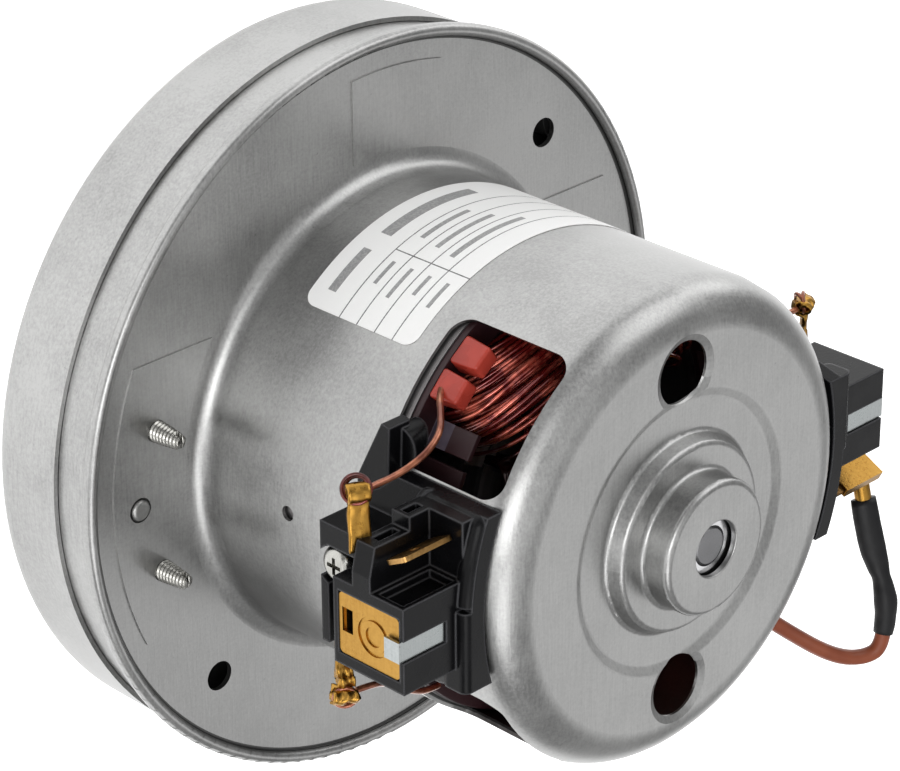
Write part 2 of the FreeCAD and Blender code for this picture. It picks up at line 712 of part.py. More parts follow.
def coil_core(pole):
    """The plain heart of one field coil, a saddle round its pole."""
    low = CORE_Z - COIL_END
    high = CORE_TOP_Z + COIL_END
    saddle = sector(COIL_OUT_R, COIL_IN_R, low, high, pole - COIL_OUT_ARC, pole + COIL_OUT_ARC)
    hole = sector(COIL_OUT_R + 2, COIL_IN_R - 2, CORE_Z - 0.6, CORE_TOP_Z + 0.6,
                  pole - COIL_IN_ARC, pole + COIL_IN_ARC)
    return saddle.cut(hole)


def coil_route(pole):
    """One rectangular spiral on a cylinder: edges, and points along them."""
    corner = TURN_CORNER_R
    radius = COIL_WIRE_R
    side_arc = COIL_IN_ARC + math.degrees((WIRE_R + 0.4) / radius)
    pitch_arc = math.degrees(TURN_PITCH / radius)
    top = CORE_TOP_Z + WIRE_R + 0.9
    low = CORE_Z - WIRE_R - 0.9
    edges = []
    points = []

    def frame(azimuth):
        return at(1.0, azimuth), at(1.0, azimuth + 90)

    def corner_arc(azimuth, height, way, up, outward):
        out, along = frame(azimuth)
        foot = out * radius + V(0, 0, height)
        side = foot.add(along * (way * corner)).add(V(0, 0, -up * corner))
        centre = foot.add(V(0, 0, -up * corner))
        ray = (along * way + V(0, 0, up)).normalize()
        middle = centre.add(ray * corner)
        if outward:
            return side, middle, foot
        return foot, middle, side

    def span_arc(start, finish, height):
        mid = (start + finish) / 2
        return (at(radius, start, height), at(radius, mid, height), at(radius, finish, height))

    def level(turn):
        return top + TURN_PITCH * turn, low - TURN_PITCH * turn

    def reach(turn):
        return side_arc + pitch_arc * turn - math.degrees(corner / radius)

    last = None
    for turn in range(TURNS):
        high_z, low_z = level(turn)
        near = pole + reach(turn)
        far = pole - reach(turn)
        after = pole + reach(turn + 1)
        arcs = [corner_arc(near, high_z, 1, 1, True),
                span_arc(near, far, high_z),
                corner_arc(far, high_z, -1, 1, False),
                corner_arc(far, low_z, -1, -1, True),
                span_arc(far, after, low_z),
                corner_arc(after, low_z, 1, -1, False)]
        for start, middle, finish in arcs:
            if last and last.distanceToPoint(start) > 1e-4:
                edges.append(Part.LineSegment(last, start).toShape())
            edges.append(Part.Arc(start, middle, finish).toShape())
            last = finish
    lead_in = edges[0].Vertexes[0].Point
    edges.insert(0, Part.LineSegment(lead_in.add(V(0, 0, -4 * WIRE_D)), lead_in).toShape())
    edges.append(Part.LineSegment(last, last.add(V(0, 0, 4 * WIRE_D))).toShape())
    for edge in edges:
        steps = max(3, int(edge.Length / 0.8))
        for i in range(steps):
            points.append(edge.valueAt(edge.FirstParameter + (edge.LastParameter - edge.FirstParameter)
                                       * i / steps))
    return edges, points


def least_gap(points, wire, step=0.8):
    """Least clear distance between parts of one route that aren't neighbours."""
    skip = int(3 * wire / step) + 2
    best = 1e9
    cells = {}
    size = 2.0
    for i, p in enumerate(points):
        key = (int(p.x // size), int(p.y // size), int(p.z // size))
        for dx in (-1, 0, 1):
            for dy in (-1, 0, 1):
                for dz in (-1, 0, 1):
                    for j in cells.get((key[0] + dx, key[1] + dy, key[2] + dz), ()):
                        if i - j > skip:
                            best = min(best, p.distanceToPoint(points[j]))
        cells.setdefault(key, []).append(i)
    return best - wire


def piped(edges, radius):
    path = Part.Wire(edges)
    start = edges[0].Vertexes[0].Point
    along = edges[0].Vertexes[1].Point.sub(start)
    ring_wire = Part.Wire([Part.makeCircle(radius, start, along)])
    return path.makePipeShell([ring_wire], True, False)


def field_winding(pole):
    edges, points = coil_route(pole)
    print("field winding, least gap between turns", round(least_gap(points, WIRE_D), 2))
    return piped(edges, WIRE_R)


def insulator(low, high, way):
    """The ring on one end of the field core, with tabs that hold the coil ends."""
    shapes = [ring(CORE_OUT_R - 0.3, INSULATOR_R, low, high)]
    for side in (0, 180):
        for azimuth in TAB_AZ:
            for hand in (-1, 1):
                reach = TAB_HIGH if way > 0 else 0.6 * TAB_HIGH
                ends = (low, high + reach) if way > 0 else (low - reach, high)
                tab = box(V(INSULATOR_R, -TAB_WIDTH / 2, ends[0]),
                          V(INSULATOR_R + TAB_THICK, TAB_WIDTH / 2, ends[1]))
                shapes.append(turned(tab, side + hand * azimuth))
    return joined(shapes)


def terminal_housings():
    depth, wide, high = HOUSING_SIZE
    low = CORE_TOP_Z + INSULATOR_THICK
    out = FRAME_IN_R - 0.4
    blocks = []
    for side in (0, 180):
        for azimuth in HOUSING_AZ:
            block = rounded_box(V(out - depth, -wide / 2, low), V(out, wide / 2, low + high),
                                V(1, 0, 0), 0.5)
            blocks.append(turned(block, side - azimuth))
    return Part.makeCompound(blocks)


# Brush gear

def tube_half():
    return (BRUSH_THICK / 2 + SLIDE_GAP, BRUSH_WIDE / 2 + SLIDE_GAP)


def sleeve_half():
    reach = tube_half()
    return (reach[0] + TUBE_WALL + SLIDE_GAP + HOLDER_SLEEVE_WALL,
            reach[1] + TUBE_WALL + SLIDE_GAP + HOLDER_SLEEVE_WALL)


def bar_x(half_y, half_z, start, finish):
    return box(V(start, -half_y, BRUSH_Z - half_z), V(finish, half_y, BRUSH_Z + half_z))


def along_x(radius, start, finish, point):
    """A round bar along X from start to finish, centred on (y, z)."""
    return Part.makeCylinder(radius, finish - start, V(start, point[0], point[1]), V(1, 0, 0))


def prism_x(rows, start, finish):
    """A plate along X from start to finish, with its outline in (y, z)."""
    wire = Part.makePolygon([V(start, y, z) for y, z in rows + rows[:1]])
    return Part.Face(wire).extrude(V(finish - start, 0, 0))


def holder_fin():
    """The tapered gusset, with the round boss behind it."""
    return [prism_x(FIN_OUTLINE, *FIN_X), along_x(POST_R, *POST_X, POST_AT)]


def saddle_roll():
    """The thick rolled edge up the saddle's outer side and round to its high side, with a collar."""
    high = SADDLE_Z[1] - ROLL_R
    y = SADDLE_Y[0] + ROLL_R
    x = math.sqrt(ROLL_PATH_R ** 2 - y * y)
    corner = Part.makeSphere(ROLL_R, V(x, y, high))
    rise = Part.makeCylinder(ROLL_R, high - ROLL_LOW_Z, V(x, y, ROLL_LOW_Z))
    collar = Part.makeCylinder(COLLAR_R, COLLAR_LONG, V(x, y, ROLL_LOW_Z))
    start = math.degrees(math.asin(y / ROLL_PATH_R))
    finish = math.degrees(math.asin((CLAMP_Y - CLAMP_SLIT) / ROLL_PATH_R))
    along = Part.makeTorus(ROLL_PATH_R, ROLL_R, V(0, 0, high), V(0, 0, 1), 0, 360, finish - start)
    return [corner, rise, collar, turned(along, start)]


def holder_saddle():
    """The plate that follows the frame's wall, with a rolled edge and a clamp on its high edge."""
    low, high = SADDLE_Z
    inside = BODY_R - SADDLE_DEEP
    across, down = SADDLE_TAPER
    rows = ((SADDLE_Y[1], low), (SADDLE_Y[1], high - across), (SADDLE_Y[1] - down, high),
            (SADDLE_Y[0], high)) + SADDLE_SLOPE
    plate = prism_x(rows, inside, BODY_R + 6).common(disc(SADDLE_OUT_R, low - 1, high + 1))
    clamp = rounded_box(V(inside, CLAMP_Y, CLAMP_LOW_Z), V(CLAMP_X, SADDLE_Y[1] - down, high),
                        V(0, 1, 0), 1.4)
    return [plate, clamp] + saddle_roll()


def shroud():
    """The block beside the spade tab: a low front part with a leaning face and a higher rear part."""
    face = HOLDER_FACE_X
    top = BRUSH_Z + HOLDER_HALF_Z
    inner = -HOLDER_HALF_Y + 1
    lean, tall = SHROUD_LEAN
    back = SHROUD_STEP_X - 1
    rows = [(back, inner), (back, SHROUD_FRONT_Y), (face - lean, SHROUD_FRONT_Y),
            (face, SHROUD_FRONT_Y + tall), (face, inner), (back, inner)]
    wire = Part.makePolygon([V(x, y, SHROUD_LOW_Z) for x, y in rows])
    front = Part.Face(wire).extrude(V(0, 0, POCKET_WALL))
    rear = box(V(BODY_R - 2, SHROUD_Y, SHROUD_LOW_Z), V(SHROUD_STEP_X, inner, top))
    slot_low = POCKET_Z_LOW - (POCKET_WALL + SHROUD_SLOT_WIDE) / 2
    cuts = [box(V(POCKET_X, SHROUD_Y - 1, POCKET_Z_LOW), V(face + 1, -HOLDER_HALF_Y, top + 3))]
    for low, high in SHROUD_SLOTS_X:
        cuts.append(box(V(low, SHROUD_Y - 1, slot_low),
                        V(high, SHROUD_FRONT_Y + SHROUD_SLOT_DEEP, slot_low + SHROUD_SLOT_WIDE)))
    return joined([front, rear]).cut(cuts)


def holder_body():
    face = HOLDER_FACE_X
    root = BODY_R - 2
    top = BRUSH_Z + HOLDER_HALF_Z
    reach = sleeve_half()
    tube = tube_half()
    fit = TUBE_WALL + SLIDE_GAP
    house = bar_x(HOLDER_HALF_Y, HOLDER_HALF_Z, BODY_R - 10, face)
    well = box(V(POCKET_X + WELL_RIM, -HOLDER_HALF_Y - 1, POCKET_Z_LOW + WELL_RIM),
               V(face - WELL_RIM, -HOLDER_HALF_Y + WELL_DEEP, top - WELL_RIM))
    block = box(V(root, SCREW_BLOCK_Y[0], SADDLE_Z[0] + WING_THICK),
                V(SCREW_BLOCK_X, SCREW_BLOCK_Y[1], BRUSH_Z - HOLDER_HALF_Z + 1))
    shelf = box(V(root, SCREW_BLOCK_Y[0], SADDLE_Z[0] + WING_THICK),
                V(WING_X, SCREW_POINT[0] - SCREW_CAP_R - SCREW_ROOM, SHROUD_LOW_Z + 1))
    wing = box(V(root, WING_Y[0], SADDLE_Z[0]), V(WING_X, WING_Y[1], SADDLE_Z[0] + WING_THICK))
    notch = along_x(SCREW_CAP_R + SCREW_ROOM, SCREW_BLOCK_X, WING_X + 1, SCREW_POINT)
    seat = disc(BODY_R + HOLDER_SEAT_GAP, 0, CAP_Z + 8)
    outside = joined(holder_saddle() + [house, shroud(), block, shelf, wing] + holder_fin())
    outside = outside.cut([seat, well, notch])
    sleeve = bar_x(reach[0], reach[1], BODY_R - 9, BODY_R + 3)
    bore = bar_x(tube[0] + fit, tube[1] + fit, BODY_R - 12, face + 1)
    recess = bar_x(END_PLATE_HALF[0] + SLIDE_GAP, END_PLATE_HALF[1] + SLIDE_GAP,
                   PLATE_X - SLIDE_GAP, face + 1)
    slot_half = STRIP_WIDE / 2 + SLIDE_GAP
    slot = box(V(STRIP_START_X - SLIDE_GAP, -slot_half, BRUSH_Z + tube[1]), V(face + 1, slot_half, top + 1))
    hole = along_x(SCREW_SHANK_R + 0.05, SCREW_BLOCK_X - 5, SCREW_BLOCK_X + 1, SCREW_POINT)
    return joined([outside, sleeve]).cut([bore, recess, slot, hole])


def holder_screw():
    y, z = SCREW_POINT
    top = SCREW_BLOCK_X + SCREW_CAP_HIGH
    head = along_x(SCREW_CAP_R, SCREW_BLOCK_X, top, SCREW_POINT)
    head = head.makeFillet(1.5, [edge for edge in head.Edges if edge.BoundBox.XMin > top - 0.1])
    shank = along_x(SCREW_SHANK_R, top - SCREW_CAP_HIGH - SCREW_SHANK_LONG, top - 1, SCREW_POINT)
    cross = [box(V(top - 1.1, y - 1.5, z - 0.35), V(top + 1, y + 1.5, z + 0.35)),
             box(V(top - 1.1, y - 0.35, z - 1.5), V(top + 1, y + 0.35, z + 1.5))]
    return joined([head, shank]).cut(cross)


def brush_tube():
    reach = tube_half()
    outer = bar_x(reach[0] + TUBE_WALL, reach[1] + TUBE_WALL, TUBE_START_X, PLATE_X)
    return outer.cut(bar_x(reach[0], reach[1], TUBE_START_X - 1, PLATE_X + 1))


def brush_cap():
    """The end plate of the brush tube, with a small window and a round emboss."""
    half_y, half_z = END_PLATE_HALF
    front = PLATE_X + END_PLATE_THICK
    low = BRUSH_Z - half_z
    plate = rounded_box(V(PLATE_X, -half_y, low), V(front, half_y, BRUSH_Z + half_z), V(1, 0, 0), 1.0)
    window = box(V(PLATE_X - 1, -half_y + 2.6, low + 0.7), V(front + 1, 1.4, low + 3.0))
    middle = (0, BRUSH_Z + EMBOSS_UP)
    low_x = front - EMBOSS_DEEP
    outer, inner, dimple = EMBOSS_R
    groove = along_x(outer, low_x, front + 1, middle).cut(along_x(inner, low_x, front + 1, middle))
    return plate.cut([window, groove, along_x(dimple, low_x, front + 1, middle)])


def brush_strip():
    """The bright clip along the slot, hooked over the end plate."""
    top = BRUSH_Z + HOLDER_HALF_Z - STRIP_SINK
    half = STRIP_WIDE / 2
    front = HOLDER_FACE_X + SLIDE_GAP
    leg = box(V(STRIP_START_X, -half, top), V(front + STRIP_THICK, half, top + STRIP_THICK))
    hook = box(V(front, -half, top - 2.7), V(front + STRIP_THICK, half, top + STRIP_THICK))
    return joined([leg, hook])


def carbon_brush():
    start = COMMUTATOR_R + BRUSH_LIFT
    block = bar_x(BRUSH_THICK / 2, BRUSH_WIDE / 2, 2, start + BRUSH_LENGTH)
    return block.cut(disc(start, BRUSH_Z - BRUSH_WIDE, BRUSH_Z + BRUSH_WIDE))


def biarc(start, along, finish, onward):
    """Two arcs that leave start along one direction and reach finish in the other."""
    gap = finish.sub(start)
    total = along.add(onward)
    a = 2 * (along.dot(onward) - 1)
    b = -2 * gap.dot(total)
    c = gap.dot(gap)
    if abs(a) < 1e-9:
        reach = -c / b
    else:
        reach = (-b - math.sqrt(b * b - 4 * a * c)) / (2 * a)
        if reach < 0:
            reach = (-b + math.sqrt(b * b - 4 * a * c)) / (2 * a)
    knee = start.add(along * reach)
    elbow = finish.sub(onward * reach)
    join = knee.add(elbow) * 0.5
    arcs = []
    for first, tip, last in ((start, knee, join), (join, elbow, finish)):
        back = first.sub(tip)
        ahead = last.sub(tip)
        half = back.getAngle(ahead) / 2
        length = back.Length
        radius = length * math.tan(half)
        middle = back.add(ahead)
        middle.normalize()
        apex = tip.add(middle * (radius / math.sin(half) - radius))
        arcs.append(Part.Arc(first, apex, last).toShape())
    return arcs


def brush_spring():
    start = COMMUTATOR_R + BRUSH_LIFT + BRUSH_LENGTH + SPRING_WIRE / 2 + 0.05
    finish = PLATE_X - SPRING_WIRE / 2 - 0.05
    rise = (finish - start) / SPRING_TURNS
    nodes = []
    for i in range(4 * SPRING_TURNS + 1):
        turn = math.pi / 2 * i
        place = V(start + rise * i / 4, SPRING_MEAN_R * math.cos(turn),
                  BRUSH_Z + SPRING_MEAN_R * math.sin(turn))
        along = V(rise / (2 * math.pi), -SPRING_MEAN_R * math.sin(turn), SPRING_MEAN_R * math.cos(turn))
        nodes.append((place, along.normalize()))
    edges = []
    for (place, along), (next_place, onward) in zip(nodes, nodes[1:]):
        edges += biarc(place, along, next_place, onward)
    return piped(edges, SPRING_WIRE / 2)


def leaned(shape):
    shape.rotate(V(0, 0, 0), V(1, 0, 0), TAB_BLADE_LEAN)
    shape.translate(V(POCKET_X, TAB_BLADE_AT[0], TAB_BLADE_AT[1]))
    return shape


def spade_tab():
    half = TAB_BLADE_WIDE / 2
    thick = TAB_BLADE_THICK / 2
    blade = rounded_box(V(0, -half, -thick), V(TAB_BLADE_LENGTH, half, thick), V(0, 0, 1), 0.9)
    hole = Part.makeCylinder(TAB_HOLE_R, 4, V(TAB_BLADE_LENGTH - TAB_HOLE_IN, 0, -2))
    return leaned(blade.cut(hole))


def tang(wall_z, reach):
    """A flat terminal on a wall's low side, with a folded barrel for the lead."""
    edge_y, end_y = reach
    half = TANG_WIDE / 2
    high = wall_z - TANG_GAP
    crimp_y = end_y - math.copysign(CRIMP_IN, end_y)
    strip = box(V(TANG_X - half, min(reach), high - TANG_THICK), V(TANG_X + half, max(reach), high))
    barrel = box(V(TANG_X - half, crimp_y - CRIMP_LONG / 2, wall_z - 1.9),
                 V(TANG_X + half, crimp_y + CRIMP_LONG / 2, wall_z + 1.1))
    fold = box(V(TANG_X - 0.8, crimp_y - CRIMP_LONG, wall_z),
               V(TANG_X + half + 1, crimp_y + CRIMP_LONG, wall_z + 0.3))
    return joined([strip, barrel]).cut(fold)


def tang_upper():
    return tang(SHROUD_LOW_Z, TANG_UPPER_Y)


def tang_lower():
    return tang(BRUSH_Z - HOLDER_HALF_Z, TANG_LOWER_Y)


# Leads

def cord_edges(points):
    """Straight runs joined by tangent arcs as large as the runs allow."""
    edges = []
    radii = []
    last = points[0]
    for before, here, after in zip(points, points[1:], points[2:]):
        back = before.sub(here)
        ahead = after.sub(here)
        shorter = min(back.Length, ahead.Length)
        half = back.getAngle(ahead) / 2
        reach = 0.45 * shorter
        radius = reach * math.tan(half)
        back.normalize()
        ahead.normalize()
        middle = back.add(ahead)
        middle.normalize()
        start = here.add(back * reach)
        finish = here.add(ahead * reach)
        apex = here.add(middle * (radius / math.sin(half) - radius))
        edges.append(Part.LineSegment(last, start).toShape())
        edges.append(Part.Arc(start, apex, finish).toShape())
        radii.append(round(radius, 1))
        last = finish
    edges.append(Part.LineSegment(last, points[-1]).toShape())
    return edges, radii


def cord(name, points, radius):
    edges, radii = cord_edges([V(*p) for p in points])
    length = sum(edge.Length for edge in edges)
    tube = piped(edges, radius)
    ratio = tube.Volume / (math.pi * radius * radius * length)
    print(name, "length", round(length, 1), "arc radii", radii)
    print(name, "volume over section x length", round(ratio, 4))
    return tube


def lead_receptacle():
    """The push-on terminal of the supply lead, on the tab of holder B."""
    long = TAB_BLADE_LENGTH
    wide = TAB_BLADE_WIDE / 2
    thick = TAB_BLADE_THICK / 2
    grip = box(V(long - 4.4, -wide - 0.45, -thick - 0.5), V(long + 5.2, wide + 0.45, thick + 0.5))
    room = box(V(0, -wide - SLIDE_GAP, -thick - SLIDE_GAP),
               V(long + 0.3, wide + SLIDE_GAP, thick + SLIDE_GAP))
    start = V(*SLEEVE_ROUTE[0])
    back = start.sub(V(*SLEEVE_ROUTE[1])).normalize()
    neck = turned(Part.makeCylinder(NECK_R, NECK_LONG, start, back), 180)
    return turned(joined([leaned(grip.cut(room)), neck]), 180)


def main():
    os.makedirs("parts", exist_ok=True)
    export(fan_cover(), "fan_cover")
    export(motor_frame(), "motor_frame")
    export(label(), "label")
    export(bracket(), "load_bearing_bracket")
    export(bracket_screws(), "bracket_screws")
    for name, size, low in (("fan_bearing", FAN_BEARING, FAN_BEARING_Z),
                            ("cap_bearing", CAP_BEARING, CAP_BEARING_Z)):
        outer_ring, inner_ring, balls = bearing(size, low)
        export(outer_ring, name + "_outer_ring")
        export(inner_ring, name + "_inner_ring")
        export(balls, name + "_balls")
    export(bearing_sleeve(CAP_BEARING_Z), "bearing_sleeve")
    export(wave_washer(CAP_BEARING_Z + CAP_BEARING[2]), "wave_washer")
    export(diffuser(), "diffuser")
    export(back_plate(), "impeller_back_plate")
    export(front_shroud(), "impeller_front_shroud")
    export(blades(), "impeller_blades")
    export(hub_washer(), "impeller_washer")
    export(impeller_nut(), "impeller_nut")
    export(impeller_spacer(), "impeller_spacer")
    export(shaft(), "shaft")
    export(armature_core(), "armature_core")
    export(armature_winding(), "armature_winding")
    export(commutator_hub(), "commutator_hub")
    export(commutator_bars(), "commutator_bars")
    export(field_core(), "field_core")
    export(insulator(CORE_TOP_Z, CORE_TOP_Z + INSULATOR_THICK, 1), "field_insulator_upper")
    export(insulator(CORE_Z - INSULATOR_THICK, CORE_Z, -1), "field_insulator_lower")
    for name, pole in (("front", -90), ("rear", 90)):
        export(coil_core(pole), "field_coil_" + name)
        export(field_winding(pole), "field_winding_" + name)
    export(terminal_housings(), "terminal_housings")
    makers = (("brush_holder", holder_body), ("brush_tube", brush_tube), ("brush_cap", brush_cap),
              ("brush_strip", brush_strip), ("carbon_brush", carbon_brush), ("brush_spring", brush_spring),
              ("spade_tab", spade_tab), ("tang_upper", tang_upper), ("tang_lower", tang_lower))
    for name, maker in makers:
        piece = maker()
        export(piece, name + "_a")
        export(turned(piece, 180), name + "_b")
    screws = [holder_screw(), turned(holder_screw(), 180)]
    export(Part.makeCompound(screws), "holder_screws")
    lead = cord("field lead", FIELD_LEAD, LEAD_R)
    tail = cord("tail lead", TAIL_LEAD, LEAD_R)
    for name, turn in (("a", 0), ("b", 180)):
        export(turned(lead, turn), "field_lead_" + name)
        export(turned(tail, turn), "tail_lead_" + name)
    export(cord("supply lead", SUPPLY_LEAD, SUPPLY_R), "supply_lead")
    export(cord("shrink sleeve", SLEEVE_ROUTE, SLEEVE_R), "shrink_sleeve")
    export(lead_receptacle(), "lead_receptacle")


main()
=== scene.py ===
import math

import bmesh
import bpy
import numpy as np
from mathutils import Matrix, Vector


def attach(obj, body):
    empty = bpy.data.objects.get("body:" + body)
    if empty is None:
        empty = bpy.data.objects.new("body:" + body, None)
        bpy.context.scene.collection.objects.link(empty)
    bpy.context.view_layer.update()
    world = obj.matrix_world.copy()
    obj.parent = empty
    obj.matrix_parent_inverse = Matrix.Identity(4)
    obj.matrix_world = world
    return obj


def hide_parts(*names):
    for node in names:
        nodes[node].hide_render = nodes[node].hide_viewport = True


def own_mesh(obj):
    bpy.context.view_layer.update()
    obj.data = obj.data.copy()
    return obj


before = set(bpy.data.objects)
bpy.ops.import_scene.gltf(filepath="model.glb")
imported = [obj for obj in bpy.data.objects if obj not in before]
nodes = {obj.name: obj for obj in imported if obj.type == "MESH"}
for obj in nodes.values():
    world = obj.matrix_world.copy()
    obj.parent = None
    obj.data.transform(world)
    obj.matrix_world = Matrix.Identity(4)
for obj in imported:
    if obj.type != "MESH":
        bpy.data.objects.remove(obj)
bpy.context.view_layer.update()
mm = 0.001
white = (1.0, 1.0, 1.0)
hands = {"a": 1, "b": -1}   # holder B's pieces are holder A's, turned half round the shaft

cameraValues = {
    "place": (0.3746, -0.2708, 0.4161),
    "right": (-0.7050, 0.0065, 0.7091),
    "up": (-0.3187, -0.8962, -0.3087),
    "lens": 140.0, "sensor": 36.0, "clip": (0.01, 20),
}


def placeObject(name, data):
    placed = bpy.data.objects.new(name, data)
    bpy.context.scene.collection.objects.link(placed)
    return placed


def addCamera(values):
    data = bpy.data.cameras.new("photoCamera")
    data.lens = values["lens"]
    data.sensor_width = values["sensor"]
    data.clip_start, data.clip_end = values["clip"]
    right = Vector(values["right"]).normalized()
    back = right.cross(Vector(values["up"])).normalized()
    turn = Matrix((right, back.cross(right), back)).transposed().to_4x4()
    camera = placeObject("photoCamera", data)
    camera.matrix_world = Matrix.Translation(values["place"]) @ turn
    bpy.context.scene.camera = camera
    print("camera set")


addCamera(cameraValues)


# node helpers: every value is a number, a colour or another node's output

def newMaterial(name):
    material = bpy.data.materials.new(name)
    material.use_nodes = True
    tree = material.node_tree
    return material, tree, tree.nodes["Principled BSDF"]


def feed(tree, sockets, values):
    for label, value in values.items():
        if isinstance(value, bpy.types.NodeSocket):
            tree.links.new(value, sockets[label])
        elif value is not None:
            if sockets[label].type == "RGBA":
                value = (*np.broadcast_to(value, 3), 1.0)   # a single number is a grey
            sockets[label].default_value = value


def addNode(tree, kind, inputs=(), **settings):
    node = tree.nodes.new("ShaderNode" + kind)
    for name, value in settings.items():
        setattr(node, name, value)
    feed(tree, node.inputs, dict(inputs))
    return node


def mathNode(tree, operation, *values, clamp=False):
    return addNode(tree, "Math", enumerate(values), operation=operation, use_clamp=clamp).outputs[0]


def times(tree, first, second):
    return mathNode(tree, "MULTIPLY", first, second)


def plus(tree, first, second):
    return mathNode(tree, "ADD", first, second)


def larger(tree, first, second):
    return mathNode(tree, "MAXIMUM", first, second)


def above(tree, value, low):
    return mathNode(tree, "GREATER_THAN", value, low)


def below(tree, value, high):
    return mathNode(tree, "LESS_THAN", value, high)


def between(tree, value, low, high):
    return times(tree, above(tree, value, low), below(tree, value, high))


def shared(tree, share, first, second):
    # share * first + (1 - share) * second
    return plus(tree, times(tree, first, share), times(tree, second, 1 - share))


def mixColour(tree, factor, first, second):
    mix = addNode(tree, "Mix", {"Factor": factor, "A": first, "B": second}, data_type="RGBA")
    return mix.outputs["Result"]


def mixVector(tree, factor, first, second):
    return addNode(tree, "Mix", {"Factor": factor, 4: first, 5: second}, data_type="VECTOR").outputs[1]


def objectPlace(tree):
    return addNode(tree, "TexCoord").outputs["Object"]


def faceNormal(tree):
    return addNode(tree, "NewGeometry").outputs["Normal"]


def splitVector(tree, vector):
    return addNode(tree, "SeparateXYZ", {0: vector}).outputs


def joinVector(tree, *sides):
    return addNode(tree, "CombineXYZ", enumerate(sides)).outputs[0]


def noiseNode(tree, vector, scale, detail=3.0, rough=0.5):
    inputs = {"Vector": vector, "Scale": scale, "Detail": detail, "Roughness": rough}
    return addNode(tree, "TexNoise", inputs).outputs["Fac"]


def rangeNode(tree, value, low, high, newLow=0.0, newHigh=1.0):
    return addNode(tree, "MapRange", enumerate((value, low, high, newLow, newHigh))).outputs[0]


def bumpNode(tree, height, strength, normal=None):
    inputs = {"Strength": strength, "Distance": 0.0001, "Height": height, "Normal": normal}
    return addNode(tree, "Bump", inputs).outputs[0]


def newGroup(name, inputs, outputs):
    # an input of three numbers is a vector, and so is the output called Normal
    group = bpy.data.node_groups.new(name, "ShaderNodeTree")
    for label, value in inputs.items():
        kind = "NodeSocketVector" if isinstance(value, tuple) else "NodeSocketFloat"
        group.interface.new_socket(name=label, in_out="INPUT", socket_type=kind).default_value = value
    for label in outputs:
        kind = "NodeSocketVector" if label == "Normal" else "NodeSocketFloat"
        group.interface.new_socket(name=label, in_out="OUTPUT", socket_type=kind)
    return group, group.nodes.new("NodeGroupInput").outputs, group.nodes.new("NodeGroupOutput").inputs


def placeGroup(tree, group, **values):
    return addNode(tree, "Group", values, node_tree=group).outputs


def radiusNodes(tree, x, y):
    # the distance from the shaft's axis, plain and kept off zero
    radius = mathNode(tree, "SQRT", plus(tree, times(tree, x, x), times(tree, y, y)))
    return radius, larger(tree, radius, 1.0 * mm)


def asideNode(tree, x, y):
    # |x| / r: 0 at the middle of each field pole, 1 halfway between the poles
    return mathNode(tree, "DIVIDE", mathNode(tree, "ABSOLUTE", x), radiusNodes(tree, x, y)[1])


patternValues = {
    "alongScale": 160.0, "cloudScale": 42.0, "speckScale": 1300.0, "specks": (0.78, 0.86),
    "turnedCloudScale": 90.0,
}


def steelGroup(values):
    # fine lines along Y, grain of every way, wide clouds and a few specks, on object coordinates
    group, given, result = newGroup("rolledSteel", {"Lines": 2600.0, "Grain": 1800.0},
                                    ("Lines", "Grain", "Cloud", "Speck"))
    place = objectPlace(group)
    x, y, z = splitVector(group, place)
    drawn = joinVector(group, times(group, x, given["Lines"]), times(group, y, values["alongScale"]),
                       times(group, z, given["Lines"]))
    specks = noiseNode(group, place, values["speckScale"], 1.0, 0.4)
    feed(group, result, {
        "Lines": noiseNode(group, drawn, 1.0, 2.0, 0.6),
        "Grain": noiseNode(group, place, given["Grain"], 3.0, 0.65),
        "Cloud": noiseNode(group, place, values["cloudScale"], 5.0, 0.6),
        "Speck": rangeNode(group, specks, *values["specks"])})
    return group


def turnedGroup(values):
    # streaks round the shaft: noise at (x / r * around, y / r * around, across * (r + z))
    group, given, result = newGroup("turnedStreaks", {"Around": 3.0, "Across": 1400.0}, ("Streak", "Cloud"))
    place = objectPlace(group)
    x, y, z = splitVector(group, place)
    radius, safe = radiusNodes(group, x, y)
    ring = [times(group, mathNode(group, "DIVIDE", side, safe), given["Around"]) for side in (x, y)]
    depth = times(group, plus(group, radius, z), given["Across"])
    feed(group, result, {
        "Streak": noiseNode(group, joinVector(group, *ring, depth), 1.0, 2.0, 0.6),
        "Cloud": noiseNode(group, place, values["turnedCloudScale"], 4.0, 0.55)})
    return group


frameValues = {
    "beadRadius": 65.95, "beadHeight": 25.35, "beadInner": 64.88, "beadLow": 24.5, "underside": 24.9,
    "creaseFrom": 64.35, "creaseTo": 64.95, "creaseTop": 25.45,
    "grooveFrom": 21.3, "grooveTo": 26.6, "grooveHeight": 91.5, "grooveSoft": 0.5,
    "insideRadius": 41.4, "insideTop": 92.3, "insideSum": 127.2,
}


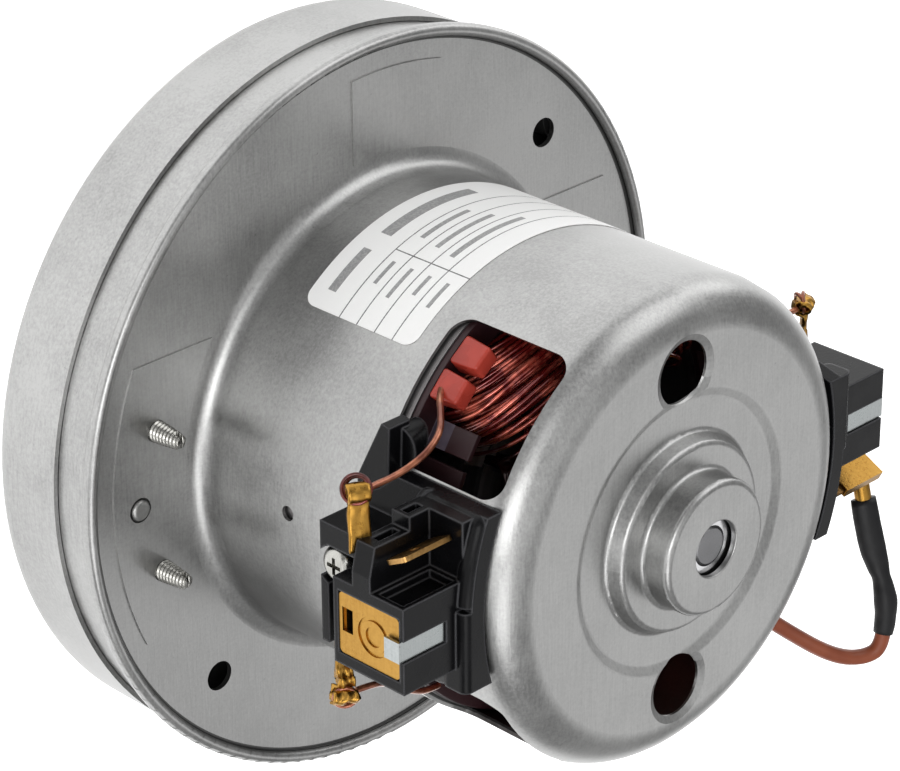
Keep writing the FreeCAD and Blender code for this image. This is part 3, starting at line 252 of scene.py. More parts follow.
def frameGroup(values):
    # Normal: the rim's rolled bead as a round rod, whose normal points from the rod's centre line to the
    # surface, and the shallow groove in the cap softened towards the flat
    # Shade: painted shade in the crease behind the bead, and on the inside, below a height and a sum of
    # radius and height
    group, given, result = newGroup("frameFormAndShade", {}, ("Normal", "Shade"))
    at = {name: value * mm for name, value in values.items()}
    x, y, z = splitVector(group, objectPlace(group))
    radius = radiusNodes(group, x, y)[1]
    out = mathNode(group, "SUBTRACT", radius, at["beadRadius"])
    over = larger(group, mathNode(group, "SUBTRACT", z, at["beadHeight"]), 0.0)
    under = mathNode(group, "MINIMUM", mathNode(group, "SUBTRACT", z, at["underside"]), 0.0)
    rod = [times(group, mathNode(group, "DIVIDE", side, radius), out) for side in (x, y)]
    rodNormal = addNode(group, "VectorMath", {0: joinVector(group, *rod, plus(group, over, under))},
                        operation="NORMALIZE").outputs[0]
    plain = faceNormal(group)
    groove = times(group, between(group, radius, at["grooveFrom"], at["grooveTo"]),
                   above(group, z, at["grooveHeight"]))
    soft = mixVector(group, times(group, groove, values["grooveSoft"]), plain, (0.0, 0.0, 1.0))
    bead = times(group, above(group, radius, at["beadInner"]), above(group, z, at["beadLow"]))
    crease = times(group, between(group, radius, at["creaseFrom"], at["creaseTo"]),
                   between(group, z, at["beadLow"], at["creaseTop"]))
    inside = times(group, below(group, radius, at["insideRadius"]), below(group, z, at["insideTop"]))
    inside = times(group, inside, below(group, plus(group, radius, z), at["insideSum"]))
    feed(group, result, {"Normal": mixVector(group, bead, soft, rodNormal),
                         "Shade": larger(group, crease, inside)})
    return group


def edgeGroup():
    # painted highlight along rounded edges: how far a rounded edge's normal turns from the face, (1 -
    # cosine) over the reach, up to 1
    group, given, result = newGroup("edgeWear", {"Rounded": (0.0, 0.0, 1.0), "Reach": 0.16}, ("EdgeHighlight",))
    normals = {0: given["Rounded"], 1: faceNormal(group)}
    cosine = addNode(group, "VectorMath", normals, operation="DOT_PRODUCT").outputs["Value"]
    turn = mathNode(group, "SUBTRACT", 1.0, cosine)
    feed(group, result, {"EdgeHighlight": mathNode(group, "DIVIDE", turn, given["Reach"], clamp=True)})
    return group


rolledSteel = steelGroup(patternValues)
turnedStreaks = turnedGroup(patternValues)
edgeWear = edgeGroup()
frameFormAndShade = frameGroup(frameValues)

sheetValues = {
    "zincSteel": {"light": (0.42, 0.42, 0.415), "dark": (0.285, 0.285, 0.282), "speck": 0.24,
        "rough": (0.30, 0.42), "lines": 2600.0, "grain": 1800.0, "bump": 0.16},
    "pressedSteel": {"light": (0.345, 0.345, 0.338), "dark": (0.255, 0.255, 0.248),
        "speck": (0.15, 0.14, 0.13), "rough": (0.30, 0.45), "lines": 2400.0, "grain": 1500.0,
        "bump": 0.16},
    "rolledAluminium": {"light": (0.74, 0.74, 0.75), "dark": (0.60, 0.60, 0.61), "speck": 0.4,
        "rough": (0.22, 0.34), "lines": 3200.0, "grain": 2500.0, "bump": 0.08},
    "brightStrip": {"light": (0.38, 0.40, 0.40), "dark": (0.26, 0.28, 0.28), "speck": 0.15,
        "rough": (0.22, 0.38), "lines": 2600.0, "grain": 2400.0, "bump": 0.14},
    "brassSheet": {"light": (0.42, 0.235, 0.05), "dark": (0.30, 0.155, 0.028),
        "speck": (0.16, 0.07, 0.012), "rough": (0.22, 0.42), "lines": 2200.0, "grain": 1500.0,
        "bump": 0.16},
    "bronzeTab": {"light": (0.50, 0.30, 0.11), "dark": (0.28, 0.15, 0.05), "speck": (0.12, 0.06, 0.02),
        "rough": (0.26, 0.42), "lines": 2200.0, "grain": 1800.0, "bump": 0.12},
}
mottleAndShadeValues = {
    "cloudShare": 0.62, "linesShare": 0.22, "tones": (0.40, 0.60), "roughs": (0.38, 0.62),
    # shade and its colour: painted shade on the frame's crease and inside
    "shade": 0.85, "shadeColour": 0.02,
}


def sheetMaterial(name, values, mottlingAndShade, form=None):
    material, tree, shader = newMaterial(name)
    marks = placeGroup(tree, rolledSteel, Lines=values["lines"], Grain=values["grain"])
    mottle = shared(tree, mottlingAndShade["cloudShare"], marks["Cloud"], marks["Grain"])
    mottle = shared(tree, mottlingAndShade["linesShare"], marks["Lines"], mottle)
    tone = rangeNode(tree, mottle, *mottlingAndShade["tones"])
    plain = mixColour(tree, tone, values["dark"], values["light"])
    colour = mixColour(tree, marks["Speck"], plain, values["speck"])
    normal = None
    if form is not None:
        shape = placeGroup(tree, form)
        normal = shape["Normal"]
        # painted shade: the frame's crease and inside are darkened towards the shade colour
        colour = mixColour(tree, times(tree, shape["Shade"], mottlingAndShade["shade"]), colour,
                           mottlingAndShade["shadeColour"])
    feed(tree, shader.inputs, {
        "Base Color": colour, "Metallic": 1.0,
        "Roughness": rangeNode(tree, mottle, *mottlingAndShade["roughs"], *values["rough"]),
        "Normal": bumpNode(tree, plus(tree, marks["Lines"], marks["Grain"]), values["bump"], normal)})
    return material


turnedValues = {
    "screwSteel": {"light": (0.46, 0.455, 0.43), "dark": (0.28, 0.275, 0.255), "rough": (0.18, 0.32),
        "around": 8.0, "across": 3000.0, "bump": 0.06},
    "shaftSteel": {"light": (0.22, 0.22, 0.225), "dark": (0.15, 0.15, 0.155), "rough": (0.32, 0.46),
        "around": 9.0, "across": 4200.0, "bump": 0.14},
    "bearingSteel": {"light": (0.56, 0.56, 0.57), "dark": (0.44, 0.44, 0.45), "rough": (0.14, 0.26),
        "around": 12.0, "across": 5000.0, "bump": 0.04},
    "laminations": {"light": (0.30, 0.29, 0.29), "dark": (0.17, 0.16, 0.16), "rough": (0.4, 0.6),
        "around": 1.0, "across": 2000.0, "bump": 0.3},
    "copperBars": {"light": (0.72, 0.36, 0.21), "dark": (0.50, 0.22, 0.12), "rough": (0.2, 0.34),
        "around": 4.0, "across": 2600.0, "bump": 0.08},
}
streakValues = {"streakShare": 0.5, "tones": (0.36, 0.64), "roughs": (0.3, 0.7)}


def turnedMaterial(name, values, streaks):
    material, tree, shader = newMaterial(name)
    marks = placeGroup(tree, turnedStreaks, Around=values["around"], Across=values["across"])
    mottle = shared(tree, streaks["streakShare"], marks["Streak"], marks["Cloud"])
    tone = rangeNode(tree, mottle, *streaks["tones"])
    feed(tree, shader.inputs, {
        "Base Color": mixColour(tree, tone, values["dark"], values["light"]), "Metallic": 1.0,
        "Roughness": rangeNode(tree, marks["Streak"], *streaks["roughs"], *values["rough"]),
        "Normal": bumpNode(tree, marks["Streak"], values["bump"])})
    return material


finishes = {name: sheetMaterial(name, values, mottleAndShadeValues) for name, values in sheetValues.items()}
finishes["frameSteel"] = sheetMaterial("frameSteel", sheetValues["zincSteel"], mottleAndShadeValues, frameFormAndShade)
finishes.update({name: turnedMaterial(name, values, streakValues) for name, values in turnedValues.items()})

# each finish's edge colour is a painted highlight along its rounded edges
mouldedValues = {
    "blackPlastic": {"light": (0.0045, 0.0045, 0.0052), "dark": (0.003, 0.003, 0.0035),
        "edge": (0.07, 0.07, 0.075), "rough": 0.24, "shine": 0.11, "scale": 900.0, "bump": 0.2,
        "bevel": 0.0006},
    "fanPlastic": {"light": 0.075, "dark": 0.045, "edge": 0.13, "rough": 0.5, "shine": 0.4,
        "scale": 700.0, "bump": 0.2, "bevel": 0.0003},
    "insulatorPlastic": {"light": (0.105, 0.085, 0.11), "dark": (0.055, 0.042, 0.06),
        "edge": (0.16, 0.13, 0.17), "rough": 0.5, "shine": 0.4, "scale": 800.0, "bump": 0.2,
        "bevel": 0.0003, "darkened": (0.022, 0.006, 0.008), "clearAside": (0.785, 0.865),
        "clearHeight": (0.0672, 0.0712)},
    "redPlastic": {"light": (0.46, 0.055, 0.036), "dark": (0.27, 0.026, 0.017),
        "edge": (0.62, 0.13, 0.09), "rough": 0.26, "shine": 0.35, "scale": 600.0, "bump": 0.12,
        "bevel": 0.0003},
    "hubResin": {"light": (0.24, 0.12, 0.06), "dark": (0.15, 0.07, 0.035), "edge": (0.30, 0.16, 0.08),
        "rough": 0.5, "shine": 0.4, "scale": 700.0, "bump": 0.2, "bevel": 0.0002},
    "carbonBlock": {"light": 0.07, "dark": 0.03, "edge": 0.12, "rough": 0.6, "shine": 0.5,
        "scale": 1500.0, "bump": 0.4, "bevel": 0.0002},
    "sleeveRubber": {"light": (0.011, 0.011, 0.012), "dark": (0.006, 0.006, 0.007), "edge": 0.03,
        "rough": 0.42, "shine": 0.22, "scale": 500.0, "bump": 0.35, "bevel": 0.0002},
    "leadRubber": {"light": (0.28, 0.078, 0.036), "dark": (0.17, 0.042, 0.020),
        "edge": (0.34, 0.11, 0.06), "rough": 0.38, "shine": 0.25, "scale": 400.0, "bump": 0.15,
        "bevel": 0.0002},
}
skinValues = {
    "cloudScale": 0.15, "grainScale": 3, "tones": (0.35, 0.65), "roughs": (0.3, 0.7),
    "smoother": 0.05, "rougher": 0.07, "edgeReach": 0.16,
}


def darkenedMask(tree, place, clearAside, clearHeight):
    # darker all over but the tabs between two distances aside and between two heights
    x, y, z = splitVector(tree, place)
    bare = times(tree, between(tree, asideNode(tree, x, y), *clearAside), between(tree, z, *clearHeight))
    return mathNode(tree, "SUBTRACT", 1.0, bare)


def mouldedMaterial(name, values, skin):
    material, tree, shader = newMaterial(name)
    place = objectPlace(tree)
    cloud = noiseNode(tree, place, values["scale"] * skin["cloudScale"], 3.0, 0.6)
    grain = noiseNode(tree, place, values["scale"] * skin["grainScale"], 2.0, 0.5)
    rounded = addNode(tree, "Bevel", {"Radius": values["bevel"]}, samples=6).outputs[0]
    edge = placeGroup(tree, edgeWear, Rounded=rounded, Reach=skin["edgeReach"])["EdgeHighlight"]
    plain = mixColour(tree, rangeNode(tree, cloud, *skin["tones"]), values["dark"], values["light"])
    # painted highlight: rounded edges turn towards the lighter edge colour
    colour = mixColour(tree, edge, plain, values["edge"])
    # the insulator is darker all over but its tabs
    if "darkened" in values:
        darkened = darkenedMask(tree, place, values["clearAside"], values["clearHeight"])
        colour = mixColour(tree, darkened, colour, values["darkened"])
    feed(tree, shader.inputs, {
        "Base Color": colour, "Specular IOR Level": values["shine"],
        "Roughness": rangeNode(tree, cloud, *skin["roughs"], values["rough"] - skin["smoother"],
                               values["rough"] + skin["rougher"]),
        "Normal": bumpNode(tree, grain, values["bump"], rounded)})
    return material


finishes.update({name: mouldedMaterial(name, values, skinValues)
                 for name, values in mouldedValues.items()})

# the label's plain rules and bars: azimuths in degrees, heights in millimetres
labelValues = {
    "paper": (0.90, 0.90, 0.89), "ink": (0.055, 0.055, 0.06), "rough": 0.36,
    "rules": (44.1, 48.1, 52.2, 56.2), "ruleHalf": 0.11, "ruleEnds": (-121.0, -48.0),
    "crossAzimuth": -69.2, "crossHalf": 0.16, "barInk": 0.75,
    "wornScale": 2500.0, "worn": (0.3, 0.6, 0.8, 1.0),
    "bars": [(-66.5, -53.5, 38.6, 40.4), (-100.0, -72.0, 38.6, 41.0), (-90.0, -75.0, 45.5, 46.5),
             (-92.0, -74.0, 49.6, 50.6), (-96.0, -73.0, 53.6, 54.7), (-66.0, -59.0, 45.6, 46.4),
             (-66.0, -57.0, 49.7, 50.5), (-66.0, -60.0, 53.8, 54.6), (-66.0, -58.5, 57.9, 58.7)],
}


def labelMaterial(values):
    material, tree, shader = newMaterial("labelFilm")
    place = objectPlace(tree)
    x, y, z = splitVector(tree, place)
    azimuth = times(tree, mathNode(tree, "ARCTAN2", y, x), math.degrees(1))
    height = times(tree, z, 1 / mm)
    cross, rule = values["crossAzimuth"], values["ruleHalf"]
    ink = times(tree, between(tree, azimuth, cross - values["crossHalf"], cross + values["crossHalf"]),
                above(tree, height, values["rules"][0]))
    for middle in values["rules"]:
        line = times(tree, between(tree, height, middle - rule, middle + rule),
                     between(tree, azimuth, *values["ruleEnds"]))
        ink = larger(tree, ink, line)
    for start, finish, low, high in values["bars"]:
        bar = times(tree, between(tree, azimuth, start, finish), between(tree, height, low, high))
        ink = larger(tree, ink, times(tree, bar, values["barInk"]))
    worn = rangeNode(tree, noiseNode(tree, place, values["wornScale"]), *values["worn"])
    ink = times(tree, ink, worn)
    feed(tree, shader.inputs, {"Base Color": mixColour(tree, ink, values["paper"], values["ink"]),
                               "Roughness": values["rough"]})
    return material


finishes["labelFilm"] = labelMaterial(labelValues)

# the last colour of each wire is painted shade above a height, and darkens it aside from the pole too
enamelValues = {
    "redEnamel": {"dark": (0.20, 0.011, 0.010), "light": (0.98, 0.225, 0.145), "metal": 0.5,
        "rough": 0.20, "coat": 0.9, "patches": 230.0, "paintedShadeFrom": 0.0785,
        "darkened": (0.016, 0.004, 0.004), "tones": (0.47, 0.66), "asideFrom": 0.74},
    "darkEnamel": {"dark": (0.05, 0.006, 0.005), "light": (0.20, 0.028, 0.018), "metal": 0.5,
        "rough": 0.36, "coat": 0.5, "patches": 260.0, "paintedShadeFrom": 0.2,
        "darkened": (0.012, 0.004, 0.004), "tones": (0.40, 0.66), "asideFrom": 2.0},
    "copperWire": {"dark": (0.17, 0.045, 0.024), "light": (0.46, 0.17, 0.085), "metal": 0.7,
        "rough": 0.28, "coat": 0.4, "patches": 300.0, "paintedShadeFrom": 0.2,
        "darkened": (0.012, 0.004, 0.004), "tones": (0.40, 0.66), "asideFrom": 2.0},
}
varnishAndShadeValues = {
    "heightSoft": 0.0035, "asideSoft": 0.06, "most": 0.9, "coatRough": 0.12,
    "dripScale": 4, "dripBump": 0.15,
}


def enamelMaterial(name, values, varnishAndShade):
    # varnished wire: patches of dark varnish over bright copper; painted shade darkens it above a height,
    # and it is also darker aside from the pole
    material, tree, shader = newMaterial(name)
    place = objectPlace(tree)
    x, y, z = splitVector(tree, place)
    # painted shade: darker above a height, where the winding lies deep under the cap
    high = rangeNode(tree, z, values["paintedShadeFrom"], values["paintedShadeFrom"] + varnishAndShade["heightSoft"],
                     0.0, varnishAndShade["most"])
    aside = rangeNode(tree, asideNode(tree, x, y), values["asideFrom"],
                      values["asideFrom"] + varnishAndShade["asideSoft"], 0.0, varnishAndShade["most"])
    tone = rangeNode(tree, noiseNode(tree, place, values["patches"], 4.0, 0.6), *values["tones"])
    varnished = mixColour(tree, tone, values["dark"], values["light"])
    drips = noiseNode(tree, place, values["patches"] * varnishAndShade["dripScale"], 2.0, 0.5)
    feed(tree, shader.inputs, {
        "Base Color": mixColour(tree, larger(tree, high, aside), varnished, values["darkened"]),
        "Metallic": values["metal"], "Roughness": values["rough"],
        "Coat Weight": values["coat"], "Coat Roughness": varnishAndShade["coatRough"],
        "Normal": bumpNode(tree, drips, varnishAndShade["dripBump"])})
    return material


finishes.update({name: enamelMaterial(name, values, varnishAndShadeValues) for name, values in enamelValues.items()})
print("materials made")

finishNodes = {
    "zincSteel": "fan_cover", "frameSteel": "motor_frame", "labelFilm": "label",
    "pressedSteel": "load_bearing_bracket", "shaftSteel": "shaft", "laminations": "armature_core field_core",
    "screwSteel": "bracket_screws impeller_washer impeller_nut holder_screws",
    "rolledAluminium": "impeller_back_plate impeller_front_shroud impeller_blades",
    "bearingSteel": "impeller_spacer fan_bearing_outer_ring fan_bearing_inner_ring fan_bearing_balls "
                    "cap_bearing_outer_ring cap_bearing_inner_ring cap_bearing_balls",
    "brightStrip": "wave_washer brush_strip_a brush_strip_b brush_spring_a brush_spring_b",
    "brassSheet": "lead_receptacle brush_tube_a brush_tube_b brush_cap_a brush_cap_b "
                  "tang_upper_a tang_upper_b tang_lower_a tang_lower_b",
    "bronzeTab": "spade_tab_a spade_tab_b", "copperBars": "commutator_bars", "hubResin": "commutator_hub",
    "blackPlastic": "bearing_sleeve brush_holder_a brush_holder_b", "fanPlastic": "diffuser",
    "insulatorPlastic": "field_insulator_upper field_insulator_lower", "redPlastic": "terminal_housings",
    "carbonBlock": "carbon_brush_a carbon_brush_b",
    "sleeveRubber": "shrink_sleeve", "leadRubber": "supply_lead",
    "redEnamel": "field_winding_front field_winding_rear",
    "darkEnamel": "armature_winding field_coil_front field_coil_rear",
    "copperWire": "field_lead_a field_lead_b tail_lead_a tail_lead_b",
}
for finish, names in finishNodes.items():
    for name in names.split():
        mesh = nodes[name].data
        mesh.materials.clear()
        mesh.materials.append(finishes[finish])
print("finishes given to", sum(len(names.split()) for names in finishNodes.values()), "nodes")


# new pieces: points worked out in millimetres, for holder A's side or for the whole

def makePiece(name, points, faces, finish, slot, replaced=(), body="stator"):
    corners = np.asarray(points, dtype=float).reshape(-1, 3)
    tris = np.array([(f[0], f[i], f[i + 1]) for f in faces for i in range(1, len(f) - 1)])
    a, b, c = corners[tris[:, 0]], corners[tris[:, 1]], corners[tris[:, 2]]
    if np.einsum("ij,ij->i", a, np.cross(b, c)).sum() < 0:   # inside out, so every face is turned
        faces = [tuple(reversed(f)) for f in faces]
    mesh = bpy.data.meshes.new(name)
    mesh.from_pydata((corners * mm).tolist(), [], faces)
    mesh.polygons.foreach_set("use_smooth", np.full(len(mesh.polygons), True))
    mesh.materials.append(finishes[finish])
    mesh.update()
    piece = placeObject(name, mesh)
    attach(piece, body)
    if replaced:
        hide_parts(*replaced)
    return piece


def joinParts(parts):
    points, faces, base = [], [], 0
    for corners, sides in parts:
        corners = np.asarray(corners, dtype=float).reshape(-1, 3)
        points.append(corners)
        faces += [tuple(int(i) + base for i in side) for side in sides]
        base += len(corners)
    return np.concatenate(points), faces


def halfTurn(points, hand):
    return points * np.array((hands[hand], hands[hand], 1.0))


def unit(vectors):
    return vectors / np.maximum(np.linalg.norm(vectors, axis=-1, keepdims=True), 1e-9)


def roundAngles(count):
    return np.arange(count) * 2 * math.pi / count


def onCylinder(radius, angle, height):
    # (r cos a, r sin a, h) for whole arrays at once
    return np.stack(np.broadcast_arrays(radius * np.cos(angle), radius * np.sin(angle), height), axis=-1)


def gridFaces(rows, columns, closedRows=False, closedColumns=False):
    i, j = np.meshgrid(np.arange(rows if closedRows else rows - 1),
                       np.arange(columns if closedColumns else columns - 1), indexing="ij")
    nextI, nextJ = (i + 1) % rows, (j + 1) % columns
    quads = np.stack([i * columns + j, i * columns + nextJ, nextI * columns + nextJ, nextI * columns + j],
                     axis=-1)
    return [tuple(quad) for quad in quads.reshape(-1, 4).tolist()]


def stackRings(rings):
    # a closed body of stacked rings, each end shut with one face
    count, sides = rings.shape[:2]
    faces = gridFaces(count, sides, closedColumns=True)
    faces.append(tuple(range(sides))[::-1])
    faces.append(tuple(range((count - 1) * sides, count * sides)))
    return rings.reshape(-1, 3), faces


def sweepRings(path, wide, deep, sides, facing):
    # ring at each path point: centre + wide * cos(a) * side + deep * sin(a) * front
    ahead = unit(np.gradient(path, axis=0))
    side = unit(np.cross(ahead, facing))
    front = np.cross(side, ahead)
    angle = roundAngles(sides)[None, :, None]
    wide, deep = [np.broadcast_to(half, len(path))[:, None, None] for half in (wide, deep)]
    return path[:, None] + wide * np.cos(angle) * side[:, None] + deep * np.sin(angle) * front[:, None]


def roundedBlock(half, corner, steps=4):
    # six square faces, each point core + corner * unit(q - core), where core is q kept inside the box
    half = np.asarray(half, dtype=float)
    parts = []
    for axis in range(3):
        others = [k for k in range(3) if k != axis]
        lines = []
        for k in others:
            curve = half[k] - corner + corner * np.tan(np.linspace(0, math.pi / 4, steps + 1))
            lines.append(np.concatenate([-curve[::-1], curve]))
        u, v = np.meshgrid(lines[0], lines[1], indexing="ij")
        for way in (-1, 1):
            q = np.zeros(u.shape + (3,))
            q[..., axis] = way * half[axis]
            q[..., others[0]] = u
            q[..., others[1]] = v
            core = np.clip(q, -(half - corner), half - corner)
            faces = gridFaces(*u.shape)
            if way * (1 if axis != 1 else -1) < 0:
                faces = [face[::-1] for face in faces]
            parts.append((core + corner * unit(q - core), faces))
    return joinParts(parts)


def closeSeams(piece, distance=0.0005):
    # the faces of a block share their border points
    mesh = bmesh.new()
    mesh.from_mesh(piece.data)
    bmesh.ops.remove_doubles(mesh, verts=mesh.verts, dist=distance * mm)
    bmesh.ops.recalc_face_normals(mesh, faces=mesh.faces)
    mesh.to_mesh(piece.data)
    mesh.free()


# cords first: listed points, each a smooth open spline

cordValues = {
    "supplyLead": {
        "points": [(-58.0, 43.8, 91.2), (-57.3, 46.5, 91.3), (-55.4, 47.9, 90.0), (-52.2, 47.6, 88.5),
                   (-48.8, 45.9, 87.3), (-45.2, 43.3, 86.2), (-41.4, 40.1, 85.3), (-37.4, 36.6, 84.2),
                   (-33.4, 32.8, 82.3), (-29.8, 29.9, 79.6), (-27.6, 28.0, 76.8), (-27.6, 28.0, 73.8)],
        "radius": 1.4, "length": 45.8},
    "sleeve": {"points": [(-59.7, 20.2, 84.0), (-59.5, 27.7, 86.1), (-59.8, 34.7, 89.2),
                          (-59.05, 39.8, 91.07), (-58.0, 43.8, 91.2)]},
    "fieldLead": {
        "points": [(28.4, -27.6, 67.9), (31.4, -27.7, 70.3), (34.2, -26.9, 73.4), (37.2, -26.0, 76.4),
                   (40.6, -24.4, 77.4), (44.0, -22.9, 77.0), (47.2, -22.1, 76.6), (50.2, -22.0, 76.4),
                   (52.7, -22.0, 76.4)],
        "radius": 0.55},
    "tailLead": {
        "points": [(52.7, 15.2, 72.8), (50.2, 15.2, 73.2), (46.8, 16.6, 72.4), (43.4, 18.8, 70.9),
                   (40.2, 21.4, 69.9), (37.0, 23.6, 69.5), (33.6, 25.2, 69.1), (30.2, 26.0, 68.2)],
        "radius": 0.55},
}


def splineData(name, points, radius=0.0):
    data = bpy.data.curves.new(name, "CURVE")
    data.dimensions = "3D"
    data.bevel_depth = radius
    data.bevel_resolution = 6
    data.use_fill_caps = radius > 0
    data.resolution_u = 10
    spline = data.splines.new("NURBS")
    spline.points.add(len(points) - 1)
    for point, place in zip(spline.points, points):
        point.co = (*place, 1.0)
    spline.order_u = 3
    spline.use_endpoint_u = True
    return data


def splineCurve(name, points, radius, finish):
    data = splineData(name, points, radius)
    data.materials.append(finishes[finish])
    return placeObject(name, data)


def splinePath(points):
    # the points of a route's own smooth line, in millimetres
    data = splineData("route", points)
    holder = bpy.data.objects.new("route", data)
    line = bpy.data.meshes.new_from_object(holder)
    path = np.array([vertex.co[:] for vertex in line.vertices])
    bpy.data.objects.remove(holder)
    bpy.data.curves.remove(data)
    bpy.data.meshes.remove(line)
    return path


def handPoints(points, hand):
    return (halfTurn(np.array(points), hand) * mm).tolist()


sleeveValues = {
    "facing": (0.63, -0.44, 0.63),
    "stations": (0.0, 0.03, 0.22, 0.34, 0.47, 0.60, 0.72, 0.84, 0.97, 1.0),
    "halfWidth": (2.25, 2.35, 2.4, 2.15, 1.65, 1.95, 2.15, 1.95, 1.85, 1.75),
    "halfDepth": (1.35, 1.45, 1.5, 1.5, 1.45, 1.75, 2.0, 1.9, 1.85, 1.75),
    "sides": 28,
    "ripple": 0.05, "rippleAlong": 2.1, "rippleRound": 3,
}


def addSleeve(values):
    # an oval tube along the route, wide and flat on the terminal, pinched, then swollen over the lead's end,
    # with a ripple of depth * sin(along * y + round * angle)
    path = splinePath(cordValues["sleeve"]["points"])
    share = np.linspace(0, 1, len(path))
    wide, deep = [np.interp(share, values["stations"], values[key]) for key in ("halfWidth", "halfDepth")]
    for half in (wide, deep):
        half[1:-1] = np.convolve(half, (0.25, 0.5, 0.25), "valid")
    points, faces = stackRings(sweepRings(path, wide, deep, values["sides"], values["facing"]))
    angle = np.arctan2(points[:, 1], points[:, 2])[:, None]
    wave = np.sin(points[:, 1:2] * values["rippleAlong"] + angle * values["rippleRound"])
    return makePiece("sleeve", points + values["ripple"] * wave, faces, "sleeveRubber", "sleeve_rubber",
                     ["shrink_sleeve"])


sleevePiece = addSleeve(sleeveValues)
supply = cordValues["supplyLead"]
supplyPoints = handPoints(supply["points"], "a")
supplyPiece = splineCurve("supplyLead", supplyPoints, supply["radius"] * mm, "leadRubber")
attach(supplyPiece, "stator")
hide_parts("supply_lead")

for hand in hands:
    for key, node in (("fieldLead", "field_lead_"), ("tailLead", "tail_lead_")):
        lead = splineCurve(key + hand.upper(), handPoints(cordValues[key]["points"], hand),
                           cordValues[key]["radius"] * mm, "copperWire")
        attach(lead, "stator")
        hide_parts(node + hand)
print("leads laid")


# brass tangs with barrels rolled round their wires

tangValues = {
    "middleX": 55.0, "thick": 0.62, "tilt": 28.0,
    "stripRows": 16, "stripShort": 1.9, "sag": 0.35, "sagTurns": 2.2,
    "barrelRows": 34, "barrelRadius": 1.32, "barrelTurn": (-150, 250), "barrelRoll": (1.12, 0.82),
    "acrossRows": 9, "crown": 0.12, "crownTurns": 9, "crumpleScale": 3.1, "crumpleTurns": 17,
    "upper": {"start": (-12.4, 77.3), "wire": (-22.0, 76.4), "way": -1, "crumple": 0.05,
              "stations": (0.0, 0.26, 0.34, 0.42, 0.52, 0.80, 1.0),
              "halfWidths": (1.75, 1.75, 1.5, 1.5, 1.8, 1.8, 1.5)},
    "lower": {"start": (4.0, 72.80), "wire": (15.2, 72.6), "way": 1, "crumple": 0.34,
              "stations": (0.0, 0.30, 0.38, 0.52, 0.80, 1.0),
              "halfWidths": (1.3, 1.3, 1.7, 2.1, 1.9, 1.3)},
}


def tangPoints(values, rows):
    # across X by one parameter, along a line in YZ by the other: a straight strip with a slight sag, then
    # 1.1 turns round the wire, drawn in at the end, all tilted about the wire's height
    startY, startZ = rows["start"]
    wireY, wireZ = rows["wire"]
    way, middle = rows["way"], values["middleX"]
    strip = np.linspace(0, 1, values["stripRows"])
    stripY = startY + (wireY - way * values["stripShort"] - startY) * strip
    sag = values["sag"] * np.sin(strip * math.pi * values["sagTurns"]) * strip
    stripZ = startZ + (wireZ - startZ) * strip ** 2 + sag
    turn = np.radians(np.linspace(*values["barrelTurn"], values["barrelRows"]))
    reach = values["barrelRadius"] * np.linspace(*values["barrelRoll"], values["barrelRows"])
    line = np.stack([np.concatenate([stripY, wireY + way * reach * np.cos(turn)]),
                     np.concatenate([stripZ, wireZ + reach * np.sin(turn)])], axis=1)
    share = np.linspace(0, 1, len(line))
    half = np.interp(share, rows["stations"], rows["halfWidths"])
    across = np.linspace(-1, 1, values["acrossRows"])
    x = middle + half[:, None] * across[None, :]
    crown = values["crown"] * (1 - across ** 2)[None, :] * np.sin(share * values["crownTurns"])[:, None]
    grid = np.stack([x, np.broadcast_to(line[:, :1], x.shape), line[:, 1:] + crown], axis=-1)
    slope = unit(np.gradient(line, axis=0))
    normal = np.stack([np.zeros(len(line)), -slope[:, 1], slope[:, 0]], axis=1)
    near = grid + normal[:, None] * values["thick"] / 2
    far = grid - normal[:, None] * values["thick"] / 2
    rings = np.concatenate([near, far[:, ::-1]], axis=1)
    rings += rows["crumple"] * np.sin(rings[..., ::-1] * values["crumpleScale"]
                                      + share[:, None, None] * values["crumpleTurns"])
    aside, rise = rings[..., 0] - middle, rings[..., 2] - wireZ
    tilt = math.radians(values["tilt"])
    rings[..., 0] = middle + aside * math.cos(tilt) + rise * math.sin(tilt)
    rings[..., 2] = wireZ - aside * math.sin(tilt) + rise * math.cos(tilt)
    return stackRings(rings)


def wireLoop(centre, radius, wire, facing, steps=48, sides=12):
    # the wire's last turn, thrown round the barrel: a circle whose plane looks along facing
    front = unit(np.asarray(facing, dtype=float))
    first = unit(np.cross(front, (0.0, 1.0, 0.0)))
    second = np.cross(front, first)
    turn = roundAngles(steps)[:, None]
    out = np.cos(turn) * first + np.sin(turn) * second
    path = np.asarray(centre) + radius * out
    angle = roundAngles(sides)[None, :, None]
    rings = path[:, None] + wire * np.cos(angle) * front + wire * np.sin(angle) * out[:, None]
    return rings.reshape(-1, 3), gridFaces(steps, sides, True, True)


loopValues = {
    "upper": [((55.0, -22.6, 76.1), 2.25, 0.30, (0.66, -0.48, 0.58), "darkEnamel"),
              ((54.7, -22.3, 75.9), 2.05, 0.34, (0.80, -0.50, 0.30), "darkEnamel")],
    "lower": [((55.0, 15.6, 72.6), 1.8, 0.34, (0.60, 0.10, 0.75), "copperWire"),
              ((54.6, 15.9, 72.2), 1.5, 0.34, (0.85, 0.35, 0.30), "copperWire")],
}

for hand in hands:
    for level in ("upper", "lower"):
        points, faces = tangPoints(tangValues, tangValues[level])
        makePiece(level + "Tang" + hand.upper(), halfTurn(points, hand), faces, "brassSheet",
                  "brass_sheet", ["tang_" + level + "_" + hand])
        for count, (centre, radius, wire, facing, finish) in enumerate(loopValues[level]):
            points, faces = wireLoop(centre, radius, wire, facing)
            makePiece(level + "Loop" + str(count + 1) + hand.upper(), halfTurn(points, hand), faces,
                      finish, "copper_lead")
print("tangs rolled")


# terminal housings: rounded blocks that narrow upwards

housingValues = {
    "azimuths": (-44.5, -53.6, 135.5, 126.4), "radius": 38.8, "height": 69.9,
    "half": (1.8, 2.4, 2.7), "corner": 0.55, "taper": 0.10,
}


